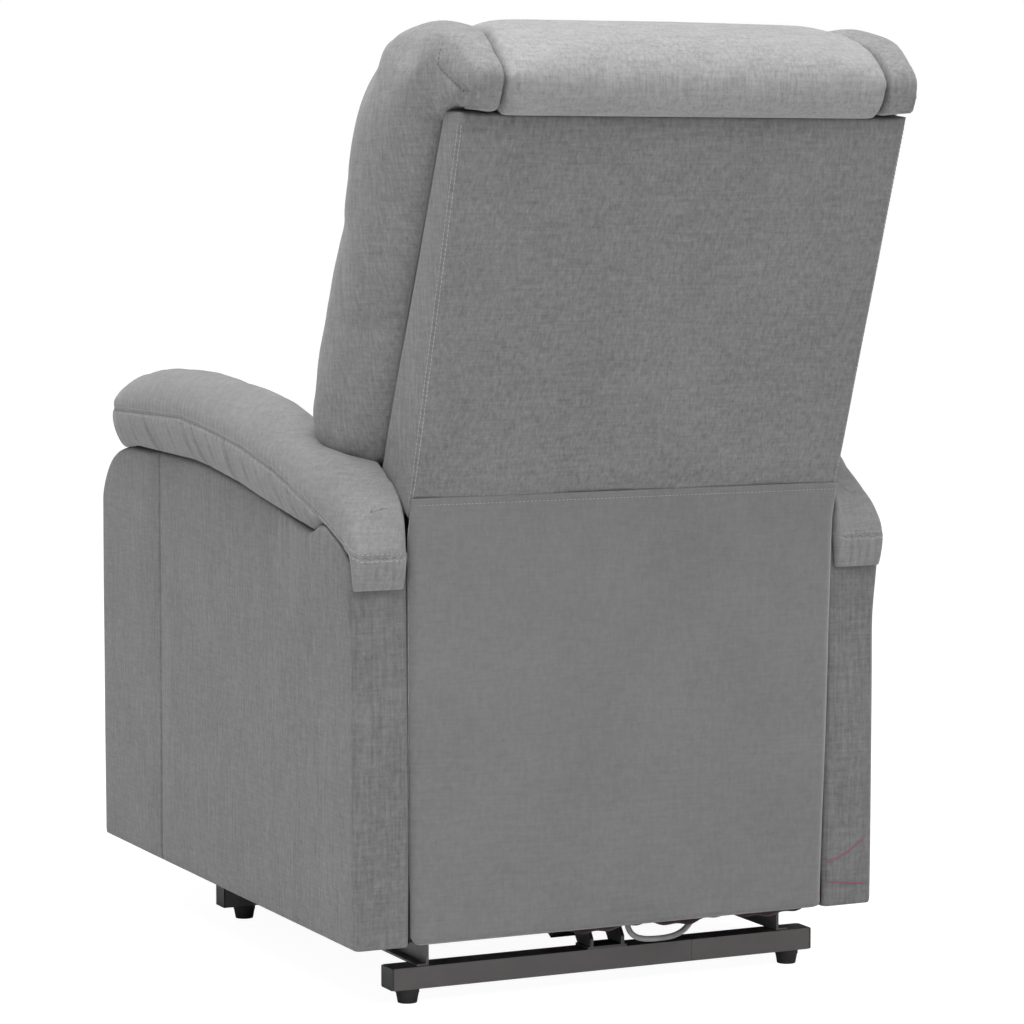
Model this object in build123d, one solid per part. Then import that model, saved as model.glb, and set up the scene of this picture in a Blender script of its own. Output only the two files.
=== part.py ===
from build123d import *
import math
import os

# A powered lift-and-recline armchair: steel base, lift linkage, actuator, seat chassis,
# arms, backrest and folding footrest.
# X = occupant's left, -Y = front of the chair, Z = up, origin on the floor below the
# centre of the bounding box. Side profiles are lists of (y, z). Spans are (low, high).

os.makedirs("parts", exist_ok=True)

# ---- shared dimensions --------------------------------------------------
HALF_WIDTH = 333.0            # to the outside of an arm pad
FRONT_Y = -497.0              # footrest face
ARM_IN, ARM_OUT = 252.0, 315.0
ARM_Y0, ARM_Y1 = -490.0, 310.0
ARM_Z0 = 70.0
SKIN = 4.0                    # upholstered panel thickness
WALL = 2.0                    # square tube wall

# pivot radii and clearances
PIN_R = 5
HEAD_R = 8                    # heads and shoulders of the PIN_R pins
LIFT_PIN_R = 6
SHAFT_R = 8                   # ends of the lift torque tube
HINGE_R = 7
RUN = 0.05                    # radial running clearance
CARRIER_RUN = 0.1             # radial clearance at the parallelogram's closing pivots
REAR_LINK_SLACK = 1.2         # radial room at the rear link's chassis pin
ROD_EYE_SLACK = 4.0           # radial room in the actuator rod eye


def shift(point, offset):
    return (point[0] + offset[0], point[1] + offset[1])


# lift linkage pivots, (y, z)
LIFT_BASE, LIFT_SEAT = (-136.3, 188.5), (200.0, 300.0)
REAR_BASE, REAR_SEAT = (-180.0, 128.4), (0.0, 155.7)
BACK_HINGE = (240.0, 400.0)

# actuator eyes, (y, z)
CRANK_R, CRANK_ANGLE = 90.0, math.radians(96.13)
ACT_REAR = (235.0, 80.0)
ACT_FRONT = shift(LIFT_BASE, (CRANK_R * math.cos(CRANK_ANGLE), CRANK_R * math.sin(CRANK_ANGLE)))

# footrest pivots, (y, z); the two chassis links and the carrier form a parallelogram
REAR_CHASSIS, FRONT_CHASSIS = (-403.45, 302.56), (-410.23, 249.11)
REAR_CARRIER = (-311.86, 167.07)
FRONT_CARRIER = shift(REAR_CARRIER, (FRONT_CHASSIS[0] - REAR_CHASSIS[0],
                                     FRONT_CHASSIS[1] - REAR_CHASSIS[1]))
CARRIER_BOARD = (-454.74, 346.61)
CONTROL_OFFSET = (14.48, -39.88)          # control link from the carrier
CONTROL_LOW = shift(FRONT_CARRIER, CONTROL_OFFSET)
CONTROL_BOARD = shift(CARRIER_BOARD, CONTROL_OFFSET)

# X span of each flat layer, left side
BRACKET_X = (210.0, 214.0)
LIFT_X = (216.0, 221.0)
REAR_X = (223.0, 228.0)
UPRIGHT_X = (222, 228)
PLATE_X = (231.0, 235.0)
FOOT_FRONT_X = (224.0, 229.0)
FOOT_REAR_X = (216.5, 221.5)
CARRIER_X = (209.5, 214.5)
CONTROL_X = (202.0, 207.0)
BOARD_BRACKET_X = (194.5, 199.5)
PLATE_IN = PLATE_X[0]


# ---- helpers ------------------------------------------------------------
def prism(points, x0, x1):
    """Side profile of (y, z) points carried from x0 to x1."""
    outline = Wire.make_polygon([Vector(x0, y, z) for y, z in points], close=True)
    return Solid.extrude(Face(outline), Vector(x1 - x0, 0, 0))


def slab(points, z0, z1):
    """Plan outline of (x, y) points carried from z0 to z1."""
    outline = Wire.make_polygon([Vector(x, y, z0) for x, y in points], close=True)
    return Solid.extrude(Face(outline), Vector(0, 0, z1 - z0))


def box(x0, x1, y0, y1, z0, z1):
    centre = Pos((x0 + x1) / 2, (y0 + y1) / 2, (z0 + z1) / 2)
    return centre * Box(abs(x1 - x0), abs(y1 - y0), abs(z1 - z0))


def rod(centre, radius, x0, x1):
    """Cylinder along X about a (y, z) centre."""
    place = Pos((x0 + x1) / 2, centre[0], centre[1])
    return place * (Rot(0, 90, 0) * Cylinder(radius, abs(x1 - x0)))


def pin(centre, *steps):
    """Stepped pin along X; each step is (radius, x0, x1)."""
    shape = rod(centre, *steps[0])
    for step in steps[1:]:
        shape += rod(centre, *step)
    return shape


def bore(centre, radius, layer):
    """Cutter that passes right through a layer."""
    return rod(centre, radius, layer[0] - 5, layer[1] + 5)


def link(start, end, width, x0, x1):
    """Flat link with round ends."""
    dy, dz = end[0] - start[0], end[1] - start[1]
    length = math.hypot(dy, dz)
    half = (-dz / length * width / 2, dy / length * width / 2)
    back = (-half[0], -half[1])
    body = prism([shift(start, half), shift(end, half), shift(end, back), shift(start, back)],
                 x0, x1)
    return body + rod(start, width / 2, x0, x1) + rod(end, width / 2, x0, x1)


def shrink(span, gap):
    return (span[0] + gap, span[1] - gap)


def square_tube(x0, x1, y_span, z_span):
    bore_box = box(x0 - 1, x1 + 1, *shrink(y_span, WALL), *shrink(z_span, WALL))
    return box(x0, x1, *y_span, *z_span) - bore_box


def cord(radius, points):
    """Round cord along a spline."""
    path = Spline(points)
    return sweep(Plane(origin=path @ 0, z_dir=path % 0) * Circle(radius), path=path)


def inset(points, depth):
    """Move every side of a closed (y, z) outline inwards by depth."""
    sides = list(zip(points, points[1:] + points[:1]))
    area = sum(a[0] * b[1] - b[0] * a[1] for a, b in sides)
    normals = []
    for (y0, z0), (y1, z1) in sides:
        length = math.copysign(math.hypot(y1 - y0, z1 - z0), area)
        normals.append(((z0 - z1) / length, (y1 - y0) / length))
    result = []
    for i, point in enumerate(points):
        before, after = normals[i - 1], normals[i]
        reach = depth / (1 + before[0] * after[0] + before[1] * after[1])
        result.append(shift(point, (reach * (before[0] + after[0]),
                                    reach * (before[1] + after[1]))))
    return result


def at_x(*planes):
    """Edge filter: centre lies on one of the planes |x| = value."""
    return lambda edge: any(abs(abs(edge.center().X) - x) < 1 for x in planes)


def above(z):
    return lambda edge: edge.center().Z > z


def soften(shape, radii, edges):
    """Round the edges with the first radius that gives a sound solid."""
    for radius in radii:
        # the kernel may refuse a radius that is too large for the outline
        try:
            rounded = fillet(edges, radius)
            if rounded.is_valid and rounded.volume > 0:
                return rounded
        except Exception:
            pass
    return shape


def flip(shape):
    return mirror(shape, about=Plane.YZ)


def export(name, *shapes):
    solids = [solid for shape in shapes for solid in shape.solids()]
    part = solids[0] if len(solids) == 1 else Compound(children=solids)
    part.label = name
    export_step(part, f"parts/{name}.step")


def export_pair(name, left):
    export(name + "_left", left)
    export(name + "_right", flip(left))


# ---- base crossbars -----------------------------------------------------
BAR_Z = (16.0, 40.0)
REAR_BAR_Y = (244.0, 274.0)
REAR_BAR_HALF = 255.4
FRONT_BAR_Y = (-254.0, -228.0)
FRONT_BAR_HALF = 255
SPLIT_X = -105.0              # butt joint in the rear crossbar
SPLIT_GAP = 0.5
PLUG_GAP = 0.2

export("rear_crossbar_long", square_tube(SPLIT_X, REAR_BAR_HALF, REAR_BAR_Y, BAR_Z))
export("rear_crossbar_short",
       square_tube(-REAR_BAR_HALF, SPLIT_X - SPLIT_GAP, REAR_BAR_Y, BAR_Z))
export("crossbar_joint_sleeve",
       square_tube(-160, -60, shrink(REAR_BAR_Y, WALL), shrink(BAR_Z, WALL)))
export("front_crossbar", square_tube(-FRONT_BAR_HALF, FRONT_BAR_HALF, FRONT_BAR_Y, BAR_Z))


def end_cap(side, bar_half, y_span, thickness, plug_length, corner=0):
    """Cover plate with a plug in the tube; side is 1 for left, -1 for right."""
    cap = box(side * bar_half, side * (bar_half + thickness), *y_span, *BAR_Z)
    if corner:
        cap = fillet(cap.edges().filter_by(Axis.X), corner)
    gap = WALL + PLUG_GAP
    return cap + box(side * (bar_half - plug_length), side * bar_half,
                     *shrink(y_span, gap), *shrink(BAR_Z, gap))


caps = []
for side in (1, -1):
    caps.append(end_cap(side, REAR_BAR_HALF, REAR_BAR_Y, thickness=2.2, plug_length=14,
                        corner=2.0))
    caps.append(end_cap(side, FRONT_BAR_HALF, FRONT_BAR_Y, thickness=2, plug_length=12))
export("tube_end_caps", *caps)

# ---- side rails: channels open outwards ---------------------------------
RAIL_Y = (FRONT_BAR_Y[0], REAR_BAR_Y[1] - 2)
RAIL_BOTTOM, RAIL_TOP = BAR_Z[1], 64
RAIL_WEB_X = (BRACKET_X[1], 217)
RAIL_FLANGE_X = (217, 228)
RAIL_FLANGE = 2.5             # flange thickness
export_pair("side_rail",
            box(*RAIL_WEB_X, *RAIL_Y, RAIL_BOTTOM, RAIL_TOP)
            + box(*RAIL_FLANGE_X, *RAIL_Y, RAIL_BOTTOM, RAIL_BOTTOM + RAIL_FLANGE)
            + box(*RAIL_FLANGE_X, *RAIL_Y, RAIL_TOP - RAIL_FLANGE, RAIL_TOP))

# ---- glide feet: a cone under a plain rim -------------------------------
FOOT_R, FOOT_H = 13.0, BAR_Z[0]
RIM_H = 5
CONE_H = FOOT_H - RIM_H
feet = []
for side in (1, -1):
    for x, y in ((side * 234, 260.0), (side * 226, -241.0)):
        feet.append(Pos(x, y, CONE_H / 2) * Cone(FOOT_R - 2.5, FOOT_R - 0.5, CONE_H)
                    + Pos(x, y, CONE_H + RIM_H / 2) * Cylinder(FOOT_R, RIM_H))
export("glide_feet", *feet)

# ---- base brackets, with the rear link's pin ----------------------------
bracket = prism([(-224, 41), (-76, 41), (-78, 62), (-108, 170), (-112, 196), (-124, 208),
                 (-148, 208), (-170, 190), (-197, 150), (-202, 128), (-207, 70), (-224, 58)],
                *BRACKET_X)
bracket -= bore(LIFT_BASE, SHAFT_R + RUN, BRACKET_X)
bracket += pin(REAR_BASE, (9, BRACKET_X[1], 222.5), (LIFT_PIN_R, 222.5, 228.4),
               (9, 228.4, 229.8))
bracket += prism([(-206, 70), (-198, 70), (-190, 130), (-198, 128)], 202, BRACKET_X[0])
export_pair("base_bracket", bracket)

# ---- actuator rear bracket: two ears on a foot plate, with a pin --------
EAR_X = (17, 21)
clevis = box(-24, 24, *REAR_BAR_Y, BAR_Z[1], 43)
ear = [(REAR_BAR_Y[1], 40), (REAR_BAR_Y[0], 40), (222, 66), (221, 86), (229, 95), (242, 95),
       (250, 84), (REAR_BAR_Y[1], 52)]
for side in (1, -1):
    clevis += prism(ear, side * EAR_X[0], side * EAR_X[1])
clevis += rod(ACT_REAR, PIN_R, -EAR_X[1], EAR_X[1])
clevis += pin(ACT_REAR, (HEAD_R, 21, 23), (HEAD_R, -23, -21))
export("actuator_rear_bracket", clevis)

# ---- lift linkage -------------------------------------------------------
lift = link(LIFT_BASE, LIFT_SEAT, 30, *LIFT_X)
lift -= bore(LIFT_BASE, SHAFT_R, LIFT_X)
lift -= bore(LIFT_SEAT, LIFT_PIN_R + RUN, LIFT_X)
export_pair("lift_link", lift)

# torque tube with two cranks and the pin for the actuator rod
CRANK_X = (11, 16)
torque_tube = pin(LIFT_BASE, (11, -209.5, 209.5), (SHAFT_R, -LIFT_X[1], LIFT_X[1]))
crank = link(LIFT_BASE, ACT_FRONT, 28, *CRANK_X) - bore(LIFT_BASE, 10.5, CRANK_X)
torque_tube = torque_tube + crank + flip(crank)
torque_tube += pin(ACT_FRONT, (PIN_R, -16, 16), (HEAD_R, 16, 18), (HEAD_R, -18, -16))
export("lift_torque_tube", torque_tube)

rear_link = link(REAR_BASE, REAR_SEAT, 26, *REAR_X)
rear_link -= bore(REAR_BASE, LIFT_PIN_R + RUN, REAR_X)
rear_link -= bore(REAR_SEAT, PIN_R + REAR_LINK_SLACK, REAR_X)
export_pair("rear_link", rear_link)

# ---- actuator -----------------------------------------------------------
# u runs from the rear eye to the front eye; v runs across it, down and forward
ACT_DY, ACT_DZ = ACT_FRONT[0] - ACT_REAR[0], ACT_FRONT[1] - ACT_REAR[1]
ACT_LENGTH = math.hypot(ACT_DY, ACT_DZ)
U_Y, U_Z = ACT_DY / ACT_LENGTH, ACT_DZ / ACT_LENGTH
ROD_R, TUBE_R, MOTOR_R = 8, 14, 20
GEARBOX_END = 74
EYE_X = (-8, 8)


def along(u, v=0.0):
    return shift(ACT_REAR, (U_Y * u - U_Z * v, U_Z * u + U_Y * v))


def cylinder_u(radius, u0, u1, v=0.0):
    y, z = along((u0 + u1) / 2, v)
    plane = Plane(origin=(0, y, z), x_dir=(1, 0, 0), z_dir=(0, U_Y, U_Z))
    return plane * Cylinder(radius, u1 - u0)


def box_u(half_x, u0, u1, v0, v1):
    corners = [along(u0, v0), along(u1, v0), along(u1, v1), along(u0, v1)]
    return prism(corners, -half_x, half_x)


housing = box_u(14, 0, 34, -11, 11) + rod(ACT_REAR, 11, -14, 14)
housing += box_u(22, 30, GEARBOX_END, -20, 66)
housing = housing - bore(ACT_REAR, PIN_R + RUN, (-14, 14)) - cylinder_u(9.5, 60, 80)
housing += cylinder_u(MOTOR_R, GEARBOX_END, 168, v=44)
export("motor_housing", housing)
export("actuator_tube",
       cylinder_u(TUBE_R, GEARBOX_END, 320) - cylinder_u(ROD_R + RUN, 70, 330))
eye_bore = bore(ACT_FRONT, PIN_R + ROD_EYE_SLACK, EYE_X)
eye = link(along(ACT_LENGTH), along(ACT_LENGTH - 20), 30, *EYE_X) - eye_bore
export("actuator_rod", eye + cylinder_u(ROD_R, 190, ACT_LENGTH - 12) - eye_bore)

# ---- chassis ------------------------------------------------------------
export_pair("side_plate", prism(
    [(-426, 236), (-426, 322), (-412, 340), (-380, 362), (150, 362), (214, 408), (232, 420),
     (250, 419), (260, 404), (256, 384), (226, 296), (206, 280), (60, 262), (20, 146), (8, 138),
     (-8, 138), (-20, 146), (-60, 262), (-372, 268), (-388, 240), (-402, 233), (-418, 232)],
    *PLATE_X))

pivot_pins = [
    pin(LIFT_SEAT, (9, 221.8, PLATE_IN), (LIFT_PIN_R, 215.6, 221.8), (9, 214.4, 215.6)),
    pin(REAR_SEAT, (PIN_R, 222.4, PLATE_IN), (9, 221.4, 222.4), (HEAD_R, 228.6, PLATE_IN)),
    pin(REAR_CHASSIS, (PIN_R, 216, PLATE_IN), (HEAD_R, 215, 216), (HEAD_R, 222, PLATE_IN)),
    pin(FRONT_CHASSIS, (PIN_R, 223.5, PLATE_IN), (HEAD_R, 222.5, 223.5),
        (HEAD_R, 229.4, PLATE_IN)),
    pin(BACK_HINGE, (HINGE_R, 221.6, PLATE_IN), (10, 220.4, 221.6), (11, 228.5, PLATE_IN)),
]
export("chassis_pivot_pins", *pivot_pins, *[flip(item) for item in pivot_pins])

# ---- seat ---------------------------------------------------------------
SEAT_RAIL_Z = (330.0, 356.0)
SEAT_FRONT_Y, SEAT_REAR_Y = (-420, -390), (150, 180)
export("seat_front_rail", square_tube(-PLATE_IN, PLATE_IN, SEAT_FRONT_Y, SEAT_RAIL_Z))
export("seat_rear_rail", square_tube(-PLATE_IN, PLATE_IN, SEAT_REAR_Y, SEAT_RAIL_Z))

# zigzag springs of square wire, lying on the rails
SPRING_PITCH_X, SPRING_PITCH_Y = 80, 28
SPRING_SWING = 22
SPRING_WIRE = 4


def seat_spring(middle_x):
    path = [(middle_x, SEAT_FRONT_Y[0] + 4)]
    for i, y in enumerate(range(-400, 160, SPRING_PITCH_Y)):
        x = middle_x + (-1) ** i * SPRING_SWING
        path += [(x, y + 2), (x, y + 14)]
    path.append((middle_x, SEAT_REAR_Y[1] - 4))
    z = SEAT_RAIL_Z[1] + SPRING_WIRE / 2
    wire = Polyline([(x, y, z) for x, y in path])
    section = Plane(origin=wire @ 0, z_dir=wire % 0) * Rectangle(SPRING_WIRE, SPRING_WIRE)
    return sweep(section, path=wire, transition=Transition.RIGHT)


export("seat_springs", *[seat_spring(i * SPRING_PITCH_X) for i in range(-2, 3)])

SEAT_HALF = 246
seat = prism([(-478, 366), (-492, 384), (-495, 430), (-484, 462), (-450, 478), (-380, 482),
              (-120, 477), (60, 468), (104, 460), (112, 440), (112, 366)],
             -SEAT_HALF, SEAT_HALF)
seat_edges = seat.edges().filter_by(GeomType.LINE).filter_by(at_x(SEAT_HALF))
export("seat_cushion", soften(seat, (16, 12, 8), seat_edges))

# ---- arms ---------------------------------------------------------------
# top of the arm box, rear to front
ARM_TOP = [(310, 486), (261, 497), (213, 504), (157, 515), (69, 530), (-6, 543), (-101, 555),
           (-150, 559), (-344, 560), (-401, 548), (-440, 530), (-470, 500), (-485, 470),
           (-490, 440)]
# upper surface of the pad, front to rear
PAD_CROWN = [(-425, 553), (-450, 566), (-466, 584), (-470, 602), (-461, 618), (-442, 629),
             (-387, 646), (-281, 659), (-181, 662), (-53, 656), (67, 639), (162, 624),
             (222, 589), (270, 551), (306, 519), (326, 496), (326, 487)]
# blocks between arm frame and side plate: y0, y1, z0, z1
SPACERS = [(-380, -340, 285, 330), (60, 100, 285, 330)]

# hollow cover, open at the bottom
arm_profile = [(ARM_Y0, ARM_Z0), (ARM_Y1, ARM_Z0)] + ARM_TOP
arm_cover = prism(arm_profile, ARM_IN, ARM_OUT)
hollow = [(y, 60.0 if z < 100 else z) for y, z in inset(arm_profile, SKIN)]
arm_cover -= prism(hollow, ARM_IN + SKIN, ARM_OUT - SKIN)
for spacer in SPACERS:
    arm_cover -= box(ARM_IN - 5, ARM_IN + 8, *spacer)
export("arm_cover_left", arm_cover)

FRAME_X = (270, 288)
frame = prism([(-482, 78), (302, 78), (302, 478), (200, 496), (60, 522), (-110, 545),
               (-340, 550), (-400, 538), (-450, 508), (-482, 440)], *FRAME_X)
frame -= prism([(-430, 130), (250, 130), (250, 430), (190, 448), (50, 474), (-110, 496),
                (-330, 500), (-390, 490), (-430, 460)], 265, 295)
frame += box(*FRAME_X, -380, -330, 125, 505)
frame += box(*FRAME_X, 60, 110, 125, 480)
for spacer in SPACERS:
    frame += box(PLATE_X[1], FRAME_X[0], *spacer)
frame += box(ARM_IN + SKIN, ARM_OUT - SKIN, -330, -120, 537, 549)
export_pair("arm_frame", frame)

# pad with a half-elliptical nose in plan
NOSE_Y, NOSE_LENGTH = -370, 101
pad_mid, pad_half = (ARM_IN + HALF_WIDTH) / 2, (HALF_WIDTH - ARM_IN) / 2
arm_pad = prism(PAD_CROWN + ARM_TOP[:10] + [(-415, 542.0)], ARM_IN, HALF_WIDTH)
pad_edges = arm_pad.edges().filter_by(at_x(HALF_WIDTH, ARM_IN)).filter_by(above(575))
arm_pad = soften(arm_pad, (14, 10, 6), pad_edges)
nose = [(pad_mid + pad_half * math.cos(math.radians(angle)),
         NOSE_Y - NOSE_LENGTH * math.sin(math.radians(angle))) for angle in range(0, 181, 10)]
arm_pad &= slab([(HALF_WIDTH, 340)] + nose + [(ARM_IN, 340)], 440, 700)
export_pair("arm_pad", arm_pad)

# ---- pocket and handset on the outside of the right arm -----------------
POCKET_Y, POCKET_Z = (-258.0, -96.0), (296.0, 452.0)
POCKET_WALL = 3
pocket = box(-HALF_WIDTH, -ARM_OUT, *POCKET_Y, *POCKET_Z)
pocket -= box(-HALF_WIDTH + 2.5, -ARM_OUT + 1, *shrink(POCKET_Y, POCKET_WALL),
              POCKET_Z[0] + POCKET_WALL, POCKET_Z[1] + 1)
export("side_pocket", pocket)

HANDSET_Y = -176.0
LEAD_Z = 322                  # height where the lead enters the arm
BUTTON_R = 7
BUTTON_Z = {"up": 490.0, "down": 462.0}
export("arm_cover_right", flip(arm_cover) - rod((HANDSET_Y, LEAD_Z), 4, -318, -308))

handset = box(-329.5, -ARM_OUT, HANDSET_Y - 24, HANDSET_Y + 24, 352, 512)
handset = fillet(handset.edges().filter_by(Axis.X), 10)
for name, z in BUTTON_Z.items():
    handset -= rod((HANDSET_Y, z), BUTTON_R + RUN, -331, -324)
    export("handset_button_" + name, rod((HANDSET_Y, z), BUTTON_R, -331.5, -326))
export("handset_body", handset)

# ---- rear flap, power supply and cables ---------------------------------
flap = box(-256.5, 256.5, ARM_Y1, ARM_Y1 + 2.6, ARM_Z0 + 1, 400)
flap_corners = flap.edges().filter_by(Axis.Y).filter_by(lambda edge: edge.center().Z < 200)
export("rear_flap", fillet(flap_corners, 10))

supply = box(-196, -96, 96, 200, 286, 330)
export("power_supply", fillet(supply.edges().filter_by(Axis.Z), 8))

handset_lead = cord(2.5, [(-322, HANDSET_Y, 351.4), (-322, HANDSET_Y, 336),
                          (-318, HANDSET_Y, 323), (-306, HANDSET_Y, LEAD_Z),
                          (-298, HANDSET_Y, LEAD_Z)])
power_lead = cord(3.2, [(-150, 201.2, 306), (-150, 232, 290), (-140, 270, 200), (-105, 291, 82),
                        (-84, 293, 56), (-50, 294, 50), (-20, 293, 58), (-14, 290, 84),
                        (-28, 268, 180), (-60, 230, 250), (-96, 205, 296)])
export("cables", power_lead, handset_lead)

# ---- backrest shell and frame -------------------------------------------
BACK_HALF = 258
BACK_LOW, BACK_HIGH = (323.0, 546.5), (457.0, 943.0)      # rear face, bottom and top
BACK_LENGTH = 418.5                                       # nominal length of the rear face
BACK_FRONT = [(413, 949), (386, 890), (332, 776), (283, 671), (242, 578)]   # top to bottom
shell = [BACK_LOW, BACK_HIGH] + BACK_FRONT
core = inset(shell, SKIN)
back = prism(shell, -BACK_HALF, BACK_HALF) - prism(core, -BACK_HALF + SKIN, BACK_HALF - SKIN)
slot = [(240, 540), (325, 540), (325, 560), (262, 592), (240, 592)]
for side in (1, -1):
    # slot around each upright
    back -= box(side * 219, side * 232, 230, 330, 540, 592) & prism(slot, -300, 300)
export("back_cover", back)

UPRIGHT_BEND, UPRIGHT_TOP = (286.0, 566.0), (425.0, 918.0)
upright = (link(BACK_HINGE, UPRIGHT_BEND, 22, *UPRIGHT_X)
           + link(UPRIGHT_BEND, UPRIGHT_TOP, 22, *UPRIGHT_X))
upright -= bore(BACK_HINGE, HINGE_R + RUN, UPRIGHT_X)
export_pair("back_upright", upright)

# top rail inside the shell, and two round rails between the uprights
TOP_RAIL_DEPTH = 24
down = (-(BACK_HIGH[0] - BACK_LOW[0]) / BACK_LENGTH * TOP_RAIL_DEPTH,
        -(BACK_HIGH[1] - BACK_LOW[1]) / BACK_LENGTH * TOP_RAIL_DEPTH)
rail_half = UPRIGHT_X[0]
top_rail = prism([core[1], core[2], shift(core[2], down), shift(core[1], down)],
                 -rail_half, rail_half)
round_rails = []
for fraction in (0.18, 0.55):
    centre = shift(UPRIGHT_BEND, ((UPRIGHT_TOP[0] - UPRIGHT_BEND[0]) * fraction,
                                  (UPRIGHT_TOP[1] - UPRIGHT_BEND[1]) * fraction))
    round_rails.append(rod(centre, 8, -rail_half, rail_half))
export("back_cross_rails", top_rail, *round_rails)

# ---- wings and back pillows ---------------------------------------------
WING_IN, WING_STEP, WING_OUT = 206, 247, 282
PILLOW_HALF = 205
REAR_ROLL = [(497, 980), (494, 966), (476, 944), BACK_HIGH]    # rear of wings and head pillow
wing_profile = BACK_FRONT + [
    (217, 577), (161, 584), (122, 609), (123, 642), (149, 708), (178, 784), (220, 890),
    (253, 963), (279, 1004), (300, 1028), (330, 1040), (399, 1039), (440, 1027),
    (478, 1002)] + REAR_ROLL
# the outer layer is trimmed from below
outer_trim = [(100, 640), (165, 634), (226, 606), (246, 590), (560, 700), (560, 1200),
              (60, 1200), (60, 642)]
wing = (prism(wing_profile, WING_IN, WING_STEP)
        + (prism(wing_profile, WING_STEP, WING_OUT) & prism(outer_trim, 200, 300)))
wing_edges = wing.edges().filter_by(at_x(WING_OUT)).filter_by(above(700))
export_pair("wing", soften(wing, (16, 12, 8), wing_edges))

export("head_pillow", prism(
    BACK_FRONT[:2] + [(346, 806), (196, 806), (188, 830), (206, 890), (240, 963), (268, 1010),
                      (296, 1034), (330, 1043), (399, 1043), (442, 1030), (480, 1004)]
    + REAR_ROLL, -PILLOW_HALF, PILLOW_HALF))
export("middle_pillow", prism(
    [(345, 804), (332, 776), (283, 671), (245.5, 587), (150, 587), (120, 606), (118, 650),
     (150, 730), (182, 792), (194, 804)], -PILLOW_HALF, PILLOW_HALF))

# lumbar roll: a deep middle and wider, shallower ends
LUMBAR_FRONT = [(122, 486), (106, 506), (104, 545), (120, 570), (180, 574)]
lumbar = prism(LUMBAR_FRONT + [(240, 574), (236, 500), (230, 480), (150, 478)], -212, 212)
lumbar += prism(LUMBAR_FRONT + [(222, 574), (222, 500), (214, 480), (150, 478)], -244, 244)
export("lumbar_roll", lumbar)

# sloping strip, thickened along its normal
STRIP_TOP, STRIP_LOW = (338.1, 590), (304.4, 490)
STRIP_OFFSET = (0.947 * 2.4, -0.320 * 2.4)
strip = prism([STRIP_TOP, STRIP_LOW, shift(STRIP_LOW, STRIP_OFFSET),
               shift(STRIP_TOP, STRIP_OFFSET)], -243, 243)
strip -= box(-400, 400, 200, 500, 400, 492)
export("flap_hook_strip", strip)

# ---- footrest links, each with the pins it carries ----------------------
rear_arm = link(REAR_CHASSIS, REAR_CARRIER, 20, *FOOT_REAR_X)
rear_arm -= bore(REAR_CHASSIS, PIN_R + RUN, FOOT_REAR_X)
rear_arm += pin(REAR_CARRIER, (PIN_R, 209, 216.5), (HEAD_R, 208, 209))
export_pair("footrest_rear_link", rear_arm)

front_arm = (link(FRONT_CHASSIS, FRONT_CARRIER, 20, *FOOT_FRONT_X)
             + link(FRONT_CARRIER, CONTROL_LOW, 20, *FOOT_FRONT_X))
front_arm -= bore(FRONT_CHASSIS, PIN_R + RUN, FOOT_FRONT_X)
front_arm += pin(FRONT_CARRIER, (PIN_R, 209.2, 224), (HEAD_R, 208.2, 209.2), (HEAD_R, 215, 224))
front_arm += pin(CONTROL_LOW, (PIN_R, 201.4, 224), (HEAD_R, 200.5, 201.4), (HEAD_R, 207.5, 224))
export_pair("footrest_front_link", front_arm)

carrier = (link(REAR_CARRIER, FRONT_CARRIER, 20, *CARRIER_X)
           + link(FRONT_CARRIER, CARRIER_BOARD, 20, *CARRIER_X))
carrier -= bore(REAR_CARRIER, PIN_R + RUN, CARRIER_X)
carrier -= bore(FRONT_CARRIER, PIN_R + CARRIER_RUN, CARRIER_X)
carrier += pin(CARRIER_BOARD, (PIN_R, 194, 209.5), (HEAD_R, 192.8, 194), (HEAD_R, 200, 209.5))
export_pair("footrest_carrier", carrier)

control = link(CONTROL_LOW, CONTROL_BOARD, 18, *CONTROL_X)
control -= bore(CONTROL_LOW, PIN_R + RUN, CONTROL_X)
control += pin(CONTROL_BOARD, (PIN_R, 194, 202), (HEAD_R, 192.8, 194))
export_pair("footrest_control_link", control)

# ---- footrest board, brackets and pad -----------------------------------
BOARD_FRONT, BOARD_REAR = -479.0, -467.0
PAD_HALF = 245
export("footrest_board", box(-238, 238, BOARD_FRONT, BOARD_REAR, 108, 336))

top_y, low_y = CARRIER_BOARD[0], CONTROL_BOARD[0]
board_bracket = prism([(BOARD_REAR, 262), (BOARD_REAR, 352), (top_y - 4, 358), (top_y + 8, 356),
                       (top_y + 11, 348), (low_y + 11, 310), (low_y + 11, 298),
                       (low_y + 4, 294), (BOARD_REAR + 3, 262)], *BOARD_BRACKET_X)
board_bracket -= bore(CARRIER_BOARD, PIN_R + RUN, BOARD_BRACKET_X)
board_bracket -= bore(CONTROL_BOARD, PIN_R + CARRIER_RUN, BOARD_BRACKET_X)
board_bracket += box(172, BOARD_BRACKET_X[1], BOARD_REAR, BOARD_REAR + 3, 255, 335)
export("footrest_brackets", board_bracket, flip(board_bracket))

foot_pad = prism([(BOARD_FRONT, 100), (BOARD_FRONT - 12, 104), (FRONT_Y, 122), (FRONT_Y, 330),
                  (BOARD_FRONT - 12, 347), (BOARD_FRONT, 351)], -PAD_HALF, PAD_HALF)
# lips wrap the board's lower and upper edges
foot_pad += (box(-PAD_HALF, PAD_HALF, BOARD_FRONT, BOARD_REAR, 100, 107.5)
             + box(-PAD_HALF, PAD_HALF, BOARD_FRONT, BOARD_REAR, 337, 351))
export("footrest_pad", foot_pad)
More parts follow.
